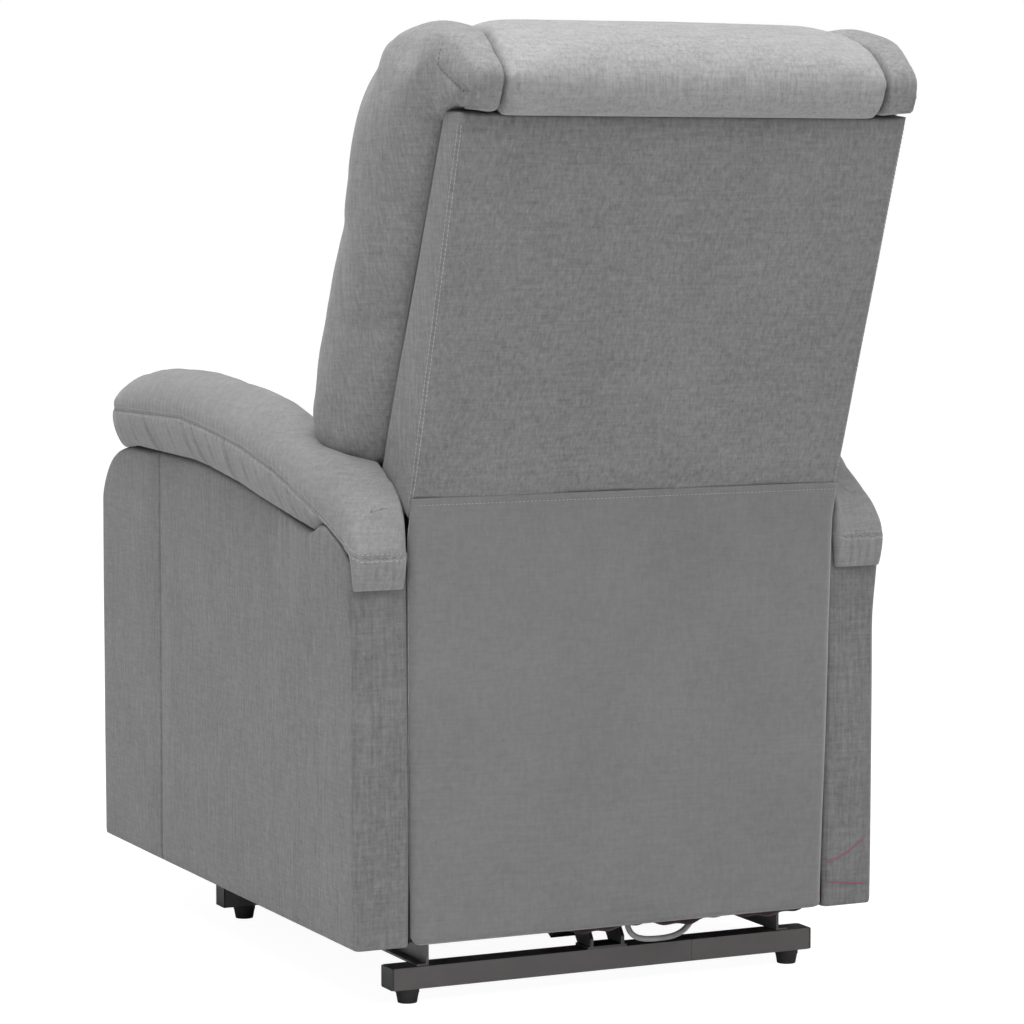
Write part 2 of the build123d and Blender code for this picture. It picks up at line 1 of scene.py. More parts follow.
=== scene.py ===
"""Motorised armchair: sewn covers, pillows and rear flap over the CAD steelwork.

Frame: floor at z = 0, +Z up, the chair faces -Y, and +X is the side named left.
Lengths are in millimetres unless noted; meshes are written in metres. Most left parts
are built first and mirrored in X. Side outlines are (y, z) tables.
"""
import bpy
import bmesh
import math
import numpy as np
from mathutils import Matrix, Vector
from mathutils.bvhtree import BVHTree


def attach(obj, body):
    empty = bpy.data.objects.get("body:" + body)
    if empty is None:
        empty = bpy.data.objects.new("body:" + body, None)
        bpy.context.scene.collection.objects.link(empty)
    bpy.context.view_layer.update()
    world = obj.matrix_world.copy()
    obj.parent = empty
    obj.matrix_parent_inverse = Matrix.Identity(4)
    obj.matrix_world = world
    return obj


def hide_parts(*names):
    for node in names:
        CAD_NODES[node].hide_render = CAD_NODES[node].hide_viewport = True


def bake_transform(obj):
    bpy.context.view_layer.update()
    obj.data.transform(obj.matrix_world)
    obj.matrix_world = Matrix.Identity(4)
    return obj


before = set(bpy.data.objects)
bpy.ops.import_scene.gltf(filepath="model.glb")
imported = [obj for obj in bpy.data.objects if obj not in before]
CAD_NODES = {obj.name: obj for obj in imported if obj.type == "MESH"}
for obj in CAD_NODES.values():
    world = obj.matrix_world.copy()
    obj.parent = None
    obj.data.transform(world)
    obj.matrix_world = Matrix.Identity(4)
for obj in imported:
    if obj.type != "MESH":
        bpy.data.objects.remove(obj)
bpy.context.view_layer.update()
SCENE = bpy.context.scene
MM = 0.001
SIDES = ((1, "left"), (-1, "right"))


# ======================================================================
# materials
# ======================================================================
class Shader:
    """A material with a Principled surface, and helpers that add nodes to it."""

    def __init__(self, name):
        self.material = bpy.data.materials.new(name)
        self.material.use_nodes = True
        self.tree = self.material.node_tree
        self.tree.nodes.clear()
        self.output = self.node("ShaderNodeOutputMaterial")
        self.surface = self.node("ShaderNodeBsdfPrincipled")
        self.link(self.surface.outputs[0], self.output.inputs[0])

    def node(self, kind, **settings):
        node = self.tree.nodes.new(kind)
        for key, value in settings.items():
            setattr(node, key, value)
        return node

    def link(self, source, target):
        self.tree.links.new(source, target)

    def put(self, socket, value):
        """Link a socket, or set it to a number or an RGB tuple."""
        if isinstance(value, bpy.types.NodeSocket):
            self.link(value, socket)
        elif isinstance(value, tuple):
            socket.default_value = (*value, 1)
        else:
            socket.default_value = value

    def set(self, values):
        """Set Principled inputs by name."""
        for key, value in values.items():
            self.put(self.surface.inputs[key], value)

    def math(self, operation, *values, clamp=False):
        node = self.node("ShaderNodeMath", operation=operation)
        node.use_clamp = clamp
        for socket, value in zip(node.inputs, values):
            self.put(socket, value)
        return node.outputs[0]

    def swing(self, noise, amount):
        """Noise centred on zero and scaled."""
        return self.math("MULTIPLY", self.math("SUBTRACT", noise, 0.5), amount)

    def coords(self):
        return self.node("ShaderNodeTexCoord").outputs["Object"]

    def scaled(self, vector, scale):
        node = self.node("ShaderNodeVectorMath", operation="MULTIPLY")
        self.put(node.inputs[0], vector)
        node.inputs[1].default_value = scale
        return node.outputs[0]

    def noise(self, vector, scale=1.0, detail=2.0, rough=0.5):
        node = self.node("ShaderNodeTexNoise")
        self.put(node.inputs["Vector"], vector)
        node.inputs["Scale"].default_value = scale
        node.inputs["Detail"].default_value = detail
        node.inputs["Roughness"].default_value = rough
        return node.outputs["Fac"]

    def ramp(self, value, source, target=(0.0, 1.0)):
        """Map the source range to the target range."""
        node = self.node("ShaderNodeMapRange")
        self.put(node.inputs["Value"], value)
        node.inputs["From Min"].default_value = source[0]
        node.inputs["From Max"].default_value = source[1]
        node.inputs["To Min"].default_value = target[0]
        node.inputs["To Max"].default_value = target[1]
        return node.outputs["Result"]

    def mix(self, factor, color_a, color_b):
        node = self.node("ShaderNodeMix", data_type="RGBA")
        self.put(node.inputs["Factor"], factor)
        for key, color in (("A", color_a), ("B", color_b)):
            self.put([s for s in node.inputs if s.name == key and s.type == "RGBA"][0], color)
        return [s for s in node.outputs if s.type == "RGBA"][0]

    def bump(self, height, distance, strength, normal=None):
        node = self.node("ShaderNodeBump")
        node.inputs["Distance"].default_value = distance
        node.inputs["Strength"].default_value = strength
        self.put(node.inputs["Height"], height)
        if normal is not None:
            self.link(normal, node.inputs["Normal"])
        return node.outputs[0]


def lighter(color, factor, lift=0.0):
    return tuple(min(1, c * factor + lift) for c in color)


def fabric(name, base, contrast, slub=1.0, pile=0.0, tint=(1.0, 1.0, 1.005), bump=0.5):
    """Heathered plain weave: fine threads both ways, long vertical slubs, cloudy wear."""
    t = Shader(name)
    co = t.coords()
    warp = t.noise(t.scaled(co, (360, 360, 22)), detail=3, rough=0.65)
    weft = t.noise(t.scaled(co, (34, 34, 380)), detail=3, rough=0.6)
    grain = t.noise(co, scale=900, detail=2, rough=0.7)
    fleck = t.noise(t.scaled(co, (190, 190, 110)), detail=3, rough=0.7)
    cloud = t.noise(co, scale=9, detail=3, rough=0.55)
    broad = t.noise(t.scaled(co, (3.2, 3.2, 2.2)), detail=2, rough=0.5)
    # how far each layer shifts the brightness
    layers = ((warp, 1.15 * slub), (weft, 0.75), (grain, 0.9), (fleck, 1.0),
              (cloud, 0.34 + pile), (broad, 0.22))
    parts = [t.swing(noise, amount) for noise, amount in layers]
    total = t.math("ADD", t.math("ADD", *parts[0:2]), t.math("ADD", *parts[2:4]))
    total = t.math("ADD", total, t.math("ADD", *parts[4:6]))
    value = t.math("MULTIPLY", t.math("MULTIPLY_ADD", total, contrast * 2.0, 1.0), base)
    value = t.math("MAXIMUM", value, base * 0.35)
    color = t.node("ShaderNodeCombineColor")
    for channel, factor in zip(("Red", "Green", "Blue"), tint):
        t.link(t.math("MULTIPLY", value, factor), color.inputs[channel])
    t.set({"Base Color": color.outputs[0], "Roughness": 0.92, "Specular IOR Level": 0.18,
           "Sheen Weight": 0.22 + pile, "Sheen Roughness": 0.45,
           "Sheen Tint": (0.9, 0.9, 0.92)})
    height = t.math("ADD", t.math("MULTIPLY", warp, 0.55),
                    t.math("ADD", t.math("MULTIPLY", weft, 0.45),
                           t.math("MULTIPLY", grain, 0.6)))
    threads = t.bump(height, distance=0.0011, strength=bump)
    t.set({"Normal": t.bump(cloud, distance=0.004, strength=0.25, normal=threads)})
    return t.material


def metal(name, base, rough, grain, metallic=0.0, spec=0.5, bump=0.12):
    """Painted or bare metal, a little dirty, with lighter worn edges."""
    t = Shader(name)
    co = t.coords()
    orange_peel = t.noise(co, scale=700, detail=2, rough=0.5)
    dirt = t.noise(co, scale=22, detail=4, rough=0.6)
    streak = t.noise(t.scaled(co, (40, 200, 200)), detail=3, rough=0.5)
    shade = t.math("ADD", t.swing(dirt, grain * 2), t.swing(streak, grain))
    geometry = t.node("ShaderNodeNewGeometry")
    edge = t.ramp(geometry.outputs["Pointiness"], (0.505, 0.56), (0, 0.5))
    color = t.mix(t.math("ADD", 0.5, shade, clamp=True),
                  tuple(c * 0.82 for c in base), lighter(base, 1.2))
    color = t.mix(edge, color, lighter(base, 1.7, lift=0.02))
    t.set({"Base Color": color, "Metallic": metallic, "Specular IOR Level": spec,
           "Coat Roughness": 0.25,
           "Roughness": t.ramp(dirt, (0.3, 0.7), (rough - 0.08, rough + 0.12)),
           "Normal": t.bump(orange_peel, distance=0.0002, strength=bump)})
    return t.material


def plastic(name, base, rough=0.5, texture=1500, bump=0.25):
    """Finely textured plastic with light dust."""
    t = Shader(name)
    co = t.coords()
    grain = t.noise(co, scale=texture, detail=2, rough=0.6)
    dust = t.noise(co, scale=30, detail=3, rough=0.55)
    color = t.mix(t.ramp(dust, (0.4, 0.75)), base, lighter(base, 1.35, lift=0.012))
    t.set({"Base Color": color,
           "Roughness": t.ramp(dust, (0.3, 0.7), (rough - 0.05, rough + 0.1)),
           "Specular IOR Level": 0.4,
           "Normal": t.bump(grain, distance=0.0003, strength=bump)})
    return t.material


def plywood(name):
    t = Shader(name)
    co = t.coords()
    ring = t.node("ShaderNodeTexWave", wave_type="RINGS", rings_direction="X")
    t.link(t.scaled(co, (1, 2.2, 14)), ring.inputs["Vector"])
    for key, value in (("Scale", 3.2), ("Distortion", 6), ("Detail", 3)):
        ring.inputs[key].default_value = value
    fine = t.noise(t.scaled(co, (60, 8, 260)), detail=3, rough=0.6)
    figure = t.math("ADD", t.math("MULTIPLY", ring.outputs["Fac"], 0.6),
                    t.math("MULTIPLY", fine, 0.5), clamp=True)
    t.set({"Base Color": t.mix(figure, (0.42, 0.27, 0.14), (0.62, 0.45, 0.27)),
           "Roughness": 0.6, "Normal": t.bump(fine, distance=0.0004, strength=0.4)})
    return t.material


# lighter copy of the grey weave: painted light on the head pillow
WEAVE_HEAD_PAINTED_LIGHT = fabric("weave_head_painted_light", base=0.240, contrast=0.28)
# darker copy of the side weave: painted shade on the arm covers
WEAVE_ARM_PAINTED_SHADE = fabric("weave_arm", base=0.146, contrast=0.34)
WEAVE_SIDE = fabric("weave_grey", base=0.166, contrast=0.34)
WEAVE_LIGHT = fabric("weave_light", base=0.205, contrast=0.26, slub=0.5, bump=0.4)
WEAVE_WING = fabric("weave_wing", base=0.188, contrast=0.32)
WEAVE_FLAP = fabric("flap_grey", base=0.152, contrast=0.17, slub=0.35, pile=0.30, bump=0.3)
THREAD = fabric("thread_grey", base=0.36, contrast=0.08, slub=0.2, bump=0.2)
# dark thread used as painted shadow in the seam, the wing crease and the ear's dart
PAINTED_SHADOW_THREAD = fabric("thread_shadow", base=0.12, contrast=0.08, slub=0.2, bump=0.2)
THREAD_ROSE = fabric("thread_rose", base=0.2, contrast=0.06, slub=0.2,
                     tint=(1.25, 0.45, 0.62), bump=0.2)
# near-black maroon: the lining's tint, darkened as painted shade
MAROON_PAINTED_SHADE = fabric("lining_maroon", base=0.012, contrast=0.2, tint=(1.6, 0.7, 0.8), bump=0.3)
STEEL_GREY = metal("steel_charcoal", (0.062, 0.058, 0.057), rough=0.46, grain=0.10, spec=0.45)
STEEL_BLACK = metal("steel_black", (0.016, 0.016, 0.018), rough=0.38, grain=0.10)
STEEL_ZINC = metal("steel_zinc", (0.60, 0.60, 0.62), rough=0.33, metallic=1.0, grain=0.12)
CHROME = metal("rod_chrome", (0.78, 0.78, 0.80), rough=0.12, metallic=1.0, grain=0.02,
               bump=0.03)
BLACK_PLASTIC = plastic("plastic_black", (0.022, 0.022, 0.024))
GREY_PLASTIC = plastic("plastic_key", (0.32, 0.33, 0.35), rough=0.42)
RUBBER = plastic("rubber_black", (0.022, 0.021, 0.021), rough=0.7, texture=900, bump=0.4)
CABLE = plastic("cable_grey", (0.17, 0.17, 0.175), rough=0.42, texture=500, bump=0.1)
TAPE = fabric("hook_tape", base=0.03, contrast=0.3, bump=0.9)
PLYWOOD = plywood("plywood")


# ======================================================================
# mesh helpers
# ======================================================================
def tag(ob, body=None, node=None):
    if body:
        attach(ob, body)
    if node:
        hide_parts(node)


def add_object(name, mesh):
    ob = bpy.data.objects.new(name, mesh)
    SCENE.collection.objects.link(ob)
    return ob


def make(name, verts, faces, material, merge=0.0, subdiv=0, slot=None, body=None):
    """Mesh object from vertices in mm; merge is the welding distance in mm."""
    mesh = bpy.data.meshes.new(name)
    mesh.from_pydata([tuple(float(c) * MM for c in v) for v in verts], [],
                     [tuple(f) for f in faces])
    mesh.update()
    ob = add_object(name, mesh)
    if merge:
        bm = bmesh.new()
        bm.from_mesh(mesh)
        bmesh.ops.remove_doubles(bm, verts=bm.verts, dist=merge * MM)
        bmesh.ops.recalc_face_normals(bm, faces=bm.faces)
        bm.to_mesh(mesh)
        bm.free()
    mesh.materials.append(material)
    finish_mesh(ob, subdiv)
    if slot:
        tag(ob, body)
    return ob


def shade_smooth(mesh):
    for polygon in mesh.polygons:
        polygon.use_smooth = True


def finish_mesh(ob, subdiv=0):
    """Shade smooth, then subdivide for good."""
    shade_smooth(ob.data)
    if subdiv:
        modifier = ob.modifiers.new("sub", "SUBSURF")
        modifier.levels = modifier.render_levels = subdiv
        bake(ob)


def bake(ob):
    """Replace the mesh by its modified result."""
    depsgraph = bpy.context.evaluated_depsgraph_get()
    mesh = bpy.data.meshes.new_from_object(ob.evaluated_get(depsgraph))
    old = ob.data
    ob.modifiers.clear()
    ob.data = mesh
    mesh.name = old.name
    shade_smooth(mesh)


def triangulate_caps(ob):
    bm = bmesh.new()
    bm.from_mesh(ob.data)
    bmesh.ops.triangulate(bm, faces=[f for f in bm.faces if len(f.verts) > 4])
    bmesh.ops.recalc_face_normals(bm, faces=bm.faces)
    bm.to_mesh(ob.data)
    bm.free()


def read_array(items, attribute, width, kind=float):
    values = np.empty(len(items) * width, kind)
    items.foreach_get(attribute, values)
    return values.reshape(-1, width)


def coords_m(ob):
    return read_array(ob.data.vertices, "co", 3)


def set_coords_m(ob, coords):
    ob.data.vertices.foreach_set("co", np.ascontiguousarray(coords, float).ravel())
    ob.data.update()


def coords_mm(ob):
    return coords_m(ob) * 1000


def set_coords_mm(ob, coords):
    set_coords_m(ob, coords * MM)


def relax(ob, rounds, hold):
    """Laplacian smoothing at half strength; hold is the 0..1 weight that stays."""
    c = coords_m(ob)
    e = read_array(ob.data.edges, "vertices", 2, int)
    degree = np.bincount(e.ravel(), minlength=len(c)).astype(float)[:, None]
    free = (1.0 - hold)[:, None]
    for _ in range(rounds):
        total = np.zeros_like(c)
        for k in range(3):
            total[:, k] = (np.bincount(e[:, 0], c[e[:, 1], k], len(c))
                           + np.bincount(e[:, 1], c[e[:, 0], k], len(c)))
        c = c + 0.5 * free * (total / np.maximum(degree, 1) - c)
    set_coords_m(ob, c)


def loft_faces(ring_count, n, base=0, caps=False):
    """Quads between successive closed rings of n vertices, with optional end caps."""
    faces = []
    for j in range(ring_count - 1):
        low, high = base + j * n, base + (j + 1) * n
        for i in range(n):
            k = (i + 1) % n
            faces.append((low + i, low + k, high + k, high + i))
    if caps:
        faces.append(tuple(base + i for i in reversed(range(n))))
        faces.append(tuple(base + (ring_count - 1) * n + i for i in range(n)))
    return faces


def flipped(faces):
    return [(f[0], *f[:0:-1]) for f in faces]


def sheet_faces(columns, rows, close_sides=True):
    """Faces of a thin sheet: one grid of vertices, then its second skin."""
    n = columns * rows
    faces = []
    for j in range(rows - 1):
        for i in range(columns - 1):
            a = j * columns + i
            faces.append((a, a + columns, a + columns + 1, a + 1))
            faces.append((n + a, n + a + 1, n + a + columns + 1, n + a + columns))
    for i in range(columns - 1):
        a = (rows - 1) * columns + i
        faces.append((i, i + 1, n + i + 1, n + i))
        faces.append((a, n + a, n + a + 1, a + 1))
    if close_sides:
        for j in range(rows - 1):
            a = j * columns
            b = a + columns - 1
            faces.append((a, n + a, n + a + columns, a + columns))
            faces.append((b, b + columns, n + b + columns, n + b))
    return faces


def poly_prism(name, outline, x0, x1, material, sections=4):
    """Closed prism of a (y, z) outline with several X sections."""
    n = len(outline)
    verts = [(x, y, z) for x in np.linspace(x0, x1, sections) for y, z in outline]
    faces = flipped(loft_faces(sections, n))
    faces.append(tuple(range(n)))
    faces.append(tuple((sections - 1) * n + i for i in reversed(range(n))))
    ob = make(name, verts, faces, material)
    triangulate_caps(ob)
    return ob


def voxel_remesh(ob, size):
    modifier = ob.modifiers.new("vox", "REMESH")
    modifier.mode = "VOXEL"
    modifier.voxel_size = size * MM
    modifier.use_smooth_shade = True
    bake(ob)


def inflate(ob, hold, pressure, frames, cap, shrink, stiffness):
    """Cloth simulation with inner pressure.

    hold is the pinned weight per vertex; cap limits the movement, in mm.
    """
    base = coords_m(ob)
    group = ob.vertex_groups.new(name="pin")
    for weight in (0.25, 0.5, 0.75, 1.0):
        index = np.nonzero(np.abs(np.round(hold * 4) / 4 - weight) < 0.01)[0].tolist()
        if index:
            group.add(index, weight, "REPLACE")
    cloth = ob.modifiers.new("Cloth", "CLOTH")
    s = cloth.settings
    s.quality = 5
    s.mass = 0.35
    s.tension_stiffness = s.compression_stiffness = stiffness
    s.shear_stiffness = 5
    s.bending_stiffness = 0.6
    s.shrink_min = shrink
    s.use_pressure = True
    s.uniform_pressure_force = pressure
    s.effector_weights.gravity = 0
    s.vertex_group_mass = "pin"
    s.pin_stiffness = 2
    cloth.collision_settings.use_collision = False
    cloth.collision_settings.use_self_collision = False
    cloth.point_cache.frame_start = 1
    cloth.point_cache.frame_end = frames
    for number in range(1, frames + 1):
        SCENE.frame_set(number)
    evaluated = ob.evaluated_get(bpy.context.evaluated_depsgraph_get())
    moved = read_array(evaluated.to_mesh().vertices, "co", 3)
    evaluated.to_mesh_clear()
    ob.modifiers.clear()
    ob.vertex_groups.clear()
    shift = moved - base
    length = np.linalg.norm(shift, axis=1, keepdims=True)
    limit = cap * MM
    allowed = np.minimum(length, limit * np.tanh(length / limit))
    # a vertex the solver lost stays where it was
    shift = np.where(np.isfinite(shift), shift, 0) * (allowed / np.maximum(length, 1e-9))
    set_coords_m(ob, base + shift)
    SCENE.frame_set(1)


def smooth_noise(points, scale, seed):
    """Smooth 3-D noise from summed sines; scale is the wavelength."""
    r = np.random.default_rng(seed)
    out = np.zeros(len(points))
    for _ in range(7):
        k = r.normal(size=3)
        k = k / np.linalg.norm(k) * (2 * math.pi / scale) * r.uniform(0.6, 1.5)
        out += np.sin(points @ k + r.uniform(0, 6.28))
    return out / 3.2


def interp(table):
    """Piecewise linear function through (x, y) stations."""
    x, y = np.array(table, float).T
    return lambda v: np.interp(v, x, y)


def smoothstep(a, b, x):
    t = np.clip((x - a) / (b - a), 0, 1)
    return t * t * (3 - 2 * t)


def bell(x):
    return np.exp(-x ** 2)


def densify(line, step):
    """Open polyline with extra points, no closer than step."""
    out = []
    for a, b in zip(np.array(line[:-1], float), np.array(line[1:], float)):
        count = max(1, int(np.linalg.norm(b - a) / step))
        for k in range(count):
            out.append(a + (b - a) * k / count)
    out.append(np.array(line[-1], float))
    return np.array(out)


def round_poly(outline):
    """One round of corner cutting of a closed outline."""
    p = np.array(outline, float)
    q = np.roll(p, -1, axis=0)
    return np.stack([0.78 * p + 0.22 * q, 0.22 * p + 0.78 * q], 1).reshape(-1, p.shape[1])


def spline(points, steps=4):
    """Open Catmull-Rom curve through the points."""
    p = np.array(points, float)
    n = len(p)
    out = []
    for i in range(n - 1):
        a, b, c, d = p[max(i - 1, 0)], p[i], p[i + 1], p[min(i + 2, n - 1)]
        for k in range(steps):
            t = k / steps
            out.append(0.5 * ((2 * b) + (c - a) * t + (2 * a - 5 * b + 4 * c - d) * t * t
                              + (3 * b - a - 3 * c + d) * t ** 3))
    out.append(p[-1])
    return np.array(out)


def line_distance(p, line):
    """Distance of points p to an open polyline."""
    best = np.full(len(p), 1e9)
    for a, b in zip(line[:-1], line[1:]):
        ab = b - a
        t = np.clip(((p - a) @ ab) / max(ab @ ab, 1e-9), 0, 1)
        best = np.minimum(best, np.linalg.norm(p - (a + t[:, None] * ab), axis=1))
    return best


def surface_tree(ob):
    return BVHTree.FromPolygons([tuple(c) for c in coords_m(ob)],
                                [tuple(p.vertices) for p in ob.data.polygons])


def nearest(tree, point, lift):
    """Nearest surface point raised by lift, in mm, and its normal."""
    hit = tree.find_nearest(Vector(point * MM))
    normal = np.array(hit[1])
    return np.array(hit[0]) * 1000 + normal * lift, normal


def circle(centre, u, v, radius, n):
    angles = [2 * math.pi * k / n for k in range(n)]
    return [centre + (u * math.cos(a) + v * math.sin(a)) * radius for a in angles]


def stitches(name, lines, on, material, body, pitch, length, radius=0.42, lift=0.12,
             slot="weave_light"):
    """Sewn thread: short tapered dashes that follow each line on the surface of `on`."""
    sides = 6
    tree = surface_tree(on)
    verts, faces = [], []
    for line in lines:
        line = np.array(line, float)
        steps = np.linalg.norm(np.diff(line, axis=0), axis=1)
        s = np.concatenate([[0], np.cumsum(steps)])
        for middle in np.arange(pitch / 2, s[-1] - pitch / 2, pitch):
            spots = [np.array([np.interp(middle + o, s, line[:, k]) for k in range(3)])
                     for o in (-length / 2, 0, length / 2)]
            hits = [nearest(tree, spot, lift) for spot in spots]
            normal = hits[1][1]
            along = hits[2][0] - hits[0][0]
            size = np.linalg.norm(along)
            if size < 1e-3:     # both ends fell on one surface point
                continue
            side = np.cross(along / size, normal)
            side /= max(np.linalg.norm(side), 1e-6)
            faces += loft_faces(3, sides, base=len(verts), caps=True)
            # thin sunken ends and a full raised middle
            for (point, _), taper, rise in zip(hits, (0.25, 1, 0.25), (-0.15, 0.25, -0.15)):
                verts += circle(point + normal * (rise * radius), side, normal,
                                radius * taper, sides)
    return make(name, verts, faces, material, slot=slot, body=body)


def cord(name, line, radius, material, body, slot, sides=8):
    """Round cord along a polyline."""
    line = np.array(line, float)
    n = len(line)
    verts = []
    up = np.array([0.13, 0.31, 0.94])       # any direction the cords don't follow
    for i in range(n):
        d = line[min(i + 1, n - 1)] - line[max(i - 1, 0)]
        d /= max(np.linalg.norm(d), 1e-9)
        a = np.cross(d, up)
        a /= max(np.linalg.norm(a), 1e-6)
        verts += circle(line[i], a, np.cross(d, a), radius, sides)
    faces = loft_faces(n, sides, caps=True)
    return make(name, verts, faces, material, slot=slot, body=body)


def mirror_pair(left, body, node):
    """Mirror a left part in X and tag both; returns the right part."""
    mesh = left.data.copy()
    name = left.name.replace("left", "right")
    mesh.name = name
    right = add_object(name, mesh)
    c = coords_m(right)
    c[:, 0] *= -1
    set_coords_m(right, c)
    mesh.flip_normals()
    tag(right, body)
    tag(left, body)
    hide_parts(node + "_left")
    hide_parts(node + "_right")
    return right


# ======================================================================
# arm covers
# ======================================================================
COVER_X = (252.5, 315)
COVER_Y = (-490, 310)
COVER_CORNER = 7.0
COVER_FOOT_Z = 70
COVER_SEAM_Y = -278.0       # upright seam on the outer face
# (y, z) of the top edge
cover_top_z = interp([
    (-490, 458), (-489, 478), (-484, 500), (-475, 516), (-461, 532), (-444, 544), (-423, 553),
    (-401, 558), (-372, 561), (-344, 560), (-150, 559), (-101, 555), (-6, 543), (69, 530),
    (157, 515), (200, 508), (213, 509), (226, 515), (238, 520), (250, 518), (261, 513),
    (285, 502), (300, 490), (310, 480)])
# (y, z) of the line from which the puckers hang
cover_gather_z = interp([(-490, 440), (-344, 560), (-150, 557), (-6, 541), (69, 528),
                         (157, 512), (213, 502), (241, 499), (310, 480)])
# (y, half width, depth, length downwards)
COVER_PUCKERS = [
    (38, 3.5, 1.3, 34), (52, 3, 0.8, 22), (104, 4, 1.8, 46), (119, 3, 1.1, 38),
    (140, 4, 2.0, 52), (158, 3.4, 1.2, 40), (205, 3.6, 1.9, 60), (222, 3, 1.3, 42),
    (240, 3.4, 1.6, 50), (262, 3, 1.0, 34)]


def cover_plan():
    """Rounded rectangle in plan, once round: points and outward normals."""
    points, normals = [], []
    r = COVER_CORNER
    xa, xb = COVER_X[0] + r, COVER_X[1] - r
    ya, yb = COVER_Y[0] + r, COVER_Y[1] - r

    def side(x, start, end, normal_x):
        """Even stations, replaced near the seam by closer ones."""
        ys = [y for y in np.linspace(start, end, 99) if abs(y - COVER_SEAM_Y) > 5]
        ys += [COVER_SEAM_Y + o for o in (-5, -3, -1.6, -0.7, 0, 0.7, 1.6, 3, 5)]
        for y in sorted(ys, reverse=end < start)[1:-1]:
            points.append((x, y))
            normals.append((normal_x, 0))

    def end(y, start, stop, normal_y):
        for x in np.linspace(start, stop, 11)[1:-1]:
            points.append((x, y))
            normals.append((0, normal_y))

    def corner(x, y, quarter):
        for a in np.linspace(quarter * math.pi / 2, (quarter + 1) * math.pi / 2, 7):
            points.append((x + r * math.cos(a), y + r * math.sin(a)))
            normals.append((math.cos(a), math.sin(a)))

    side(COVER_X[1], ya, yb, 1)
    corner(xb, yb, 0)
    end(COVER_Y[1], xb, xa, 1)
    corner(xa, yb, 1)
    side(COVER_X[0], yb, ya, -1)
    corner(xa, ya, 2)
    end(COVER_Y[0], xa, xb, -1)
    corner(xb, ya, 3)
    return np.array(points), np.array(normals)


def cover_swell(verts, normals):
    """Outward push: puffed panels, sunken seam and puckers."""
    y, z = verts[:, 1], verts[:, 2]
    outer = (normals[:, 0] > 0.9).astype(float)
    above_foot = np.clip((z - COVER_FOOT_Z) / 50, 0, 1)
    push = smooth_noise(verts, 260, 3) * 0.9
    push += smooth_noise(verts * np.array([1, 1, 0.35]), 75, 4) * 0.28
    edge = np.minimum.reduce([np.clip((COVER_Y[1] - y) / 60, 0, 1),
                              np.clip((y - COVER_Y[0]) / 60, 0, 1), above_foot])
    push += outer * 2.2 * np.sqrt(edge) * (1 - 0.75 * bell((y - COVER_SEAM_Y) / 22))
    push -= outer * 2.4 * bell((y - COVER_SEAM_Y) / 1.5)
    drop = cover_gather_z(y) - z
    for centre, width, depth, run in COVER_PUCKERS:
        fade = bell(np.clip(drop / run, 0, 5))
        push -= outer * depth * bell((y - centre - drop * 0.06) / width) * fade
        push += outer * depth * 0.5 * bell((y - centre - 8) / (width * 1.6)) * fade
    push += (normals[:, 1] > 0.9) * 1.1 * above_foot
    # fuller under the rear of the pad
    rear = smoothstep(380, 480, z) * smoothstep(70, 210, y)
    return push + np.clip(normals[:, 0], 0, 1) * 6.5 * rear


def arm_cover(name):
    plan, normals = cover_plan()
    n = len(plan)
    rows = []
    # turned in under the foot
    for inset in (31.2, 20, 8, 2):
        rows.append(np.column_stack([plan - normals * inset, np.full(n, 71.5 + 0.02 * inset)]))
    levels = np.concatenate([[0, 0.004, 0.012], np.linspace(0.03, 0.97, 46), [0.985, 0.995]])
    wall_top = cover_top_z(plan[:, 1]) - 5
    for t in levels:
        inset = 1.5 if t == 0 else (0.4 if t < 0.01 else 0)
        z = COVER_FOOT_Z + t * (wall_top - COVER_FOOT_Z)
        rows.append(np.column_stack([plan - normals * inset, z]))
    # (inset, rise) across the top
    for inset, rise in ((0.5, -2.5), (1.8, -0.8), (5, 0.0), (10, 0.4), (18, 0.8), (26, 1.0),
                        (31.2, 1.0)):
        q = plan - normals * inset
        rows.append(np.column_stack([q, cover_top_z(np.clip(q[:, 1], *COVER_Y)) + rise]))
    verts = np.concatenate(rows)
    normals3 = np.column_stack([np.tile(normals, (len(rows), 1)), np.zeros(len(verts))])
    row = np.repeat(np.arange(len(rows)), n)
    wall = ((row > 4) & (row < len(rows) - 6)).astype(float)
    verts = verts + normals3 * (cover_swell(verts, normals3) * wall)[:, None]
    # the cover takes the darker weave copy, which is painted shade
    return make(name, verts, loft_faces(len(rows), n), WEAVE_ARM_PAINTED_SHADE, merge=0.35, subdiv=1)


cover_left = arm_cover("arm_cover_cloth_left")
cover_right = mirror_pair(cover_left, "chassis", "arm_cover")

# ======================================================================
# arm pads: crowned top, topstitched seam, gathered band below it
# ======================================================================
# (y, z) along the ridge of the crown, the seam and the band's lower edge
pad_crown_z = interp([
    (-468, 604), (-462, 616), (-442, 628), (-387, 645), (-320, 655), (-258, 659), (-193, 659),
    (-109, 653), (-68, 649), (-2, 642), (37, 637), (67, 630), (100, 617), (130, 604),
    (162, 596), (200, 588), (245, 579), (270, 566), (300, 543), (318, 517), (328, 494)])
pad_seam_z = interp([(-468, 603), (-168, 607), (-86, 599), (23, 585), (112, 566), (198, 540),
                     (267, 512), (307, 496), (328, 487)])
pad_band_z = interp([
    (-468, 562), (-420, 557), (-398, 557), (-344, 563), (-250, 561), (-149, 559), (-101, 555),
    (-6, 543), (69, 530), (157, 515), (213, 506), (226, 512), (238, 518), (262, 510),
    (275, 503), (310, 489), (328, 451)])
PAD_X0, PAD_X1 = 243.0, 331.0
PAD_NOSE_Y = -372.0         # the half-elliptical nose starts here
PAD_NOSE_LENGTH = 87.0
PAD_REAR_Y = 327.0
PAD_REAR_Z = 452.0          # lower edge of the band across the rear
PAD_CORNER = 16.0
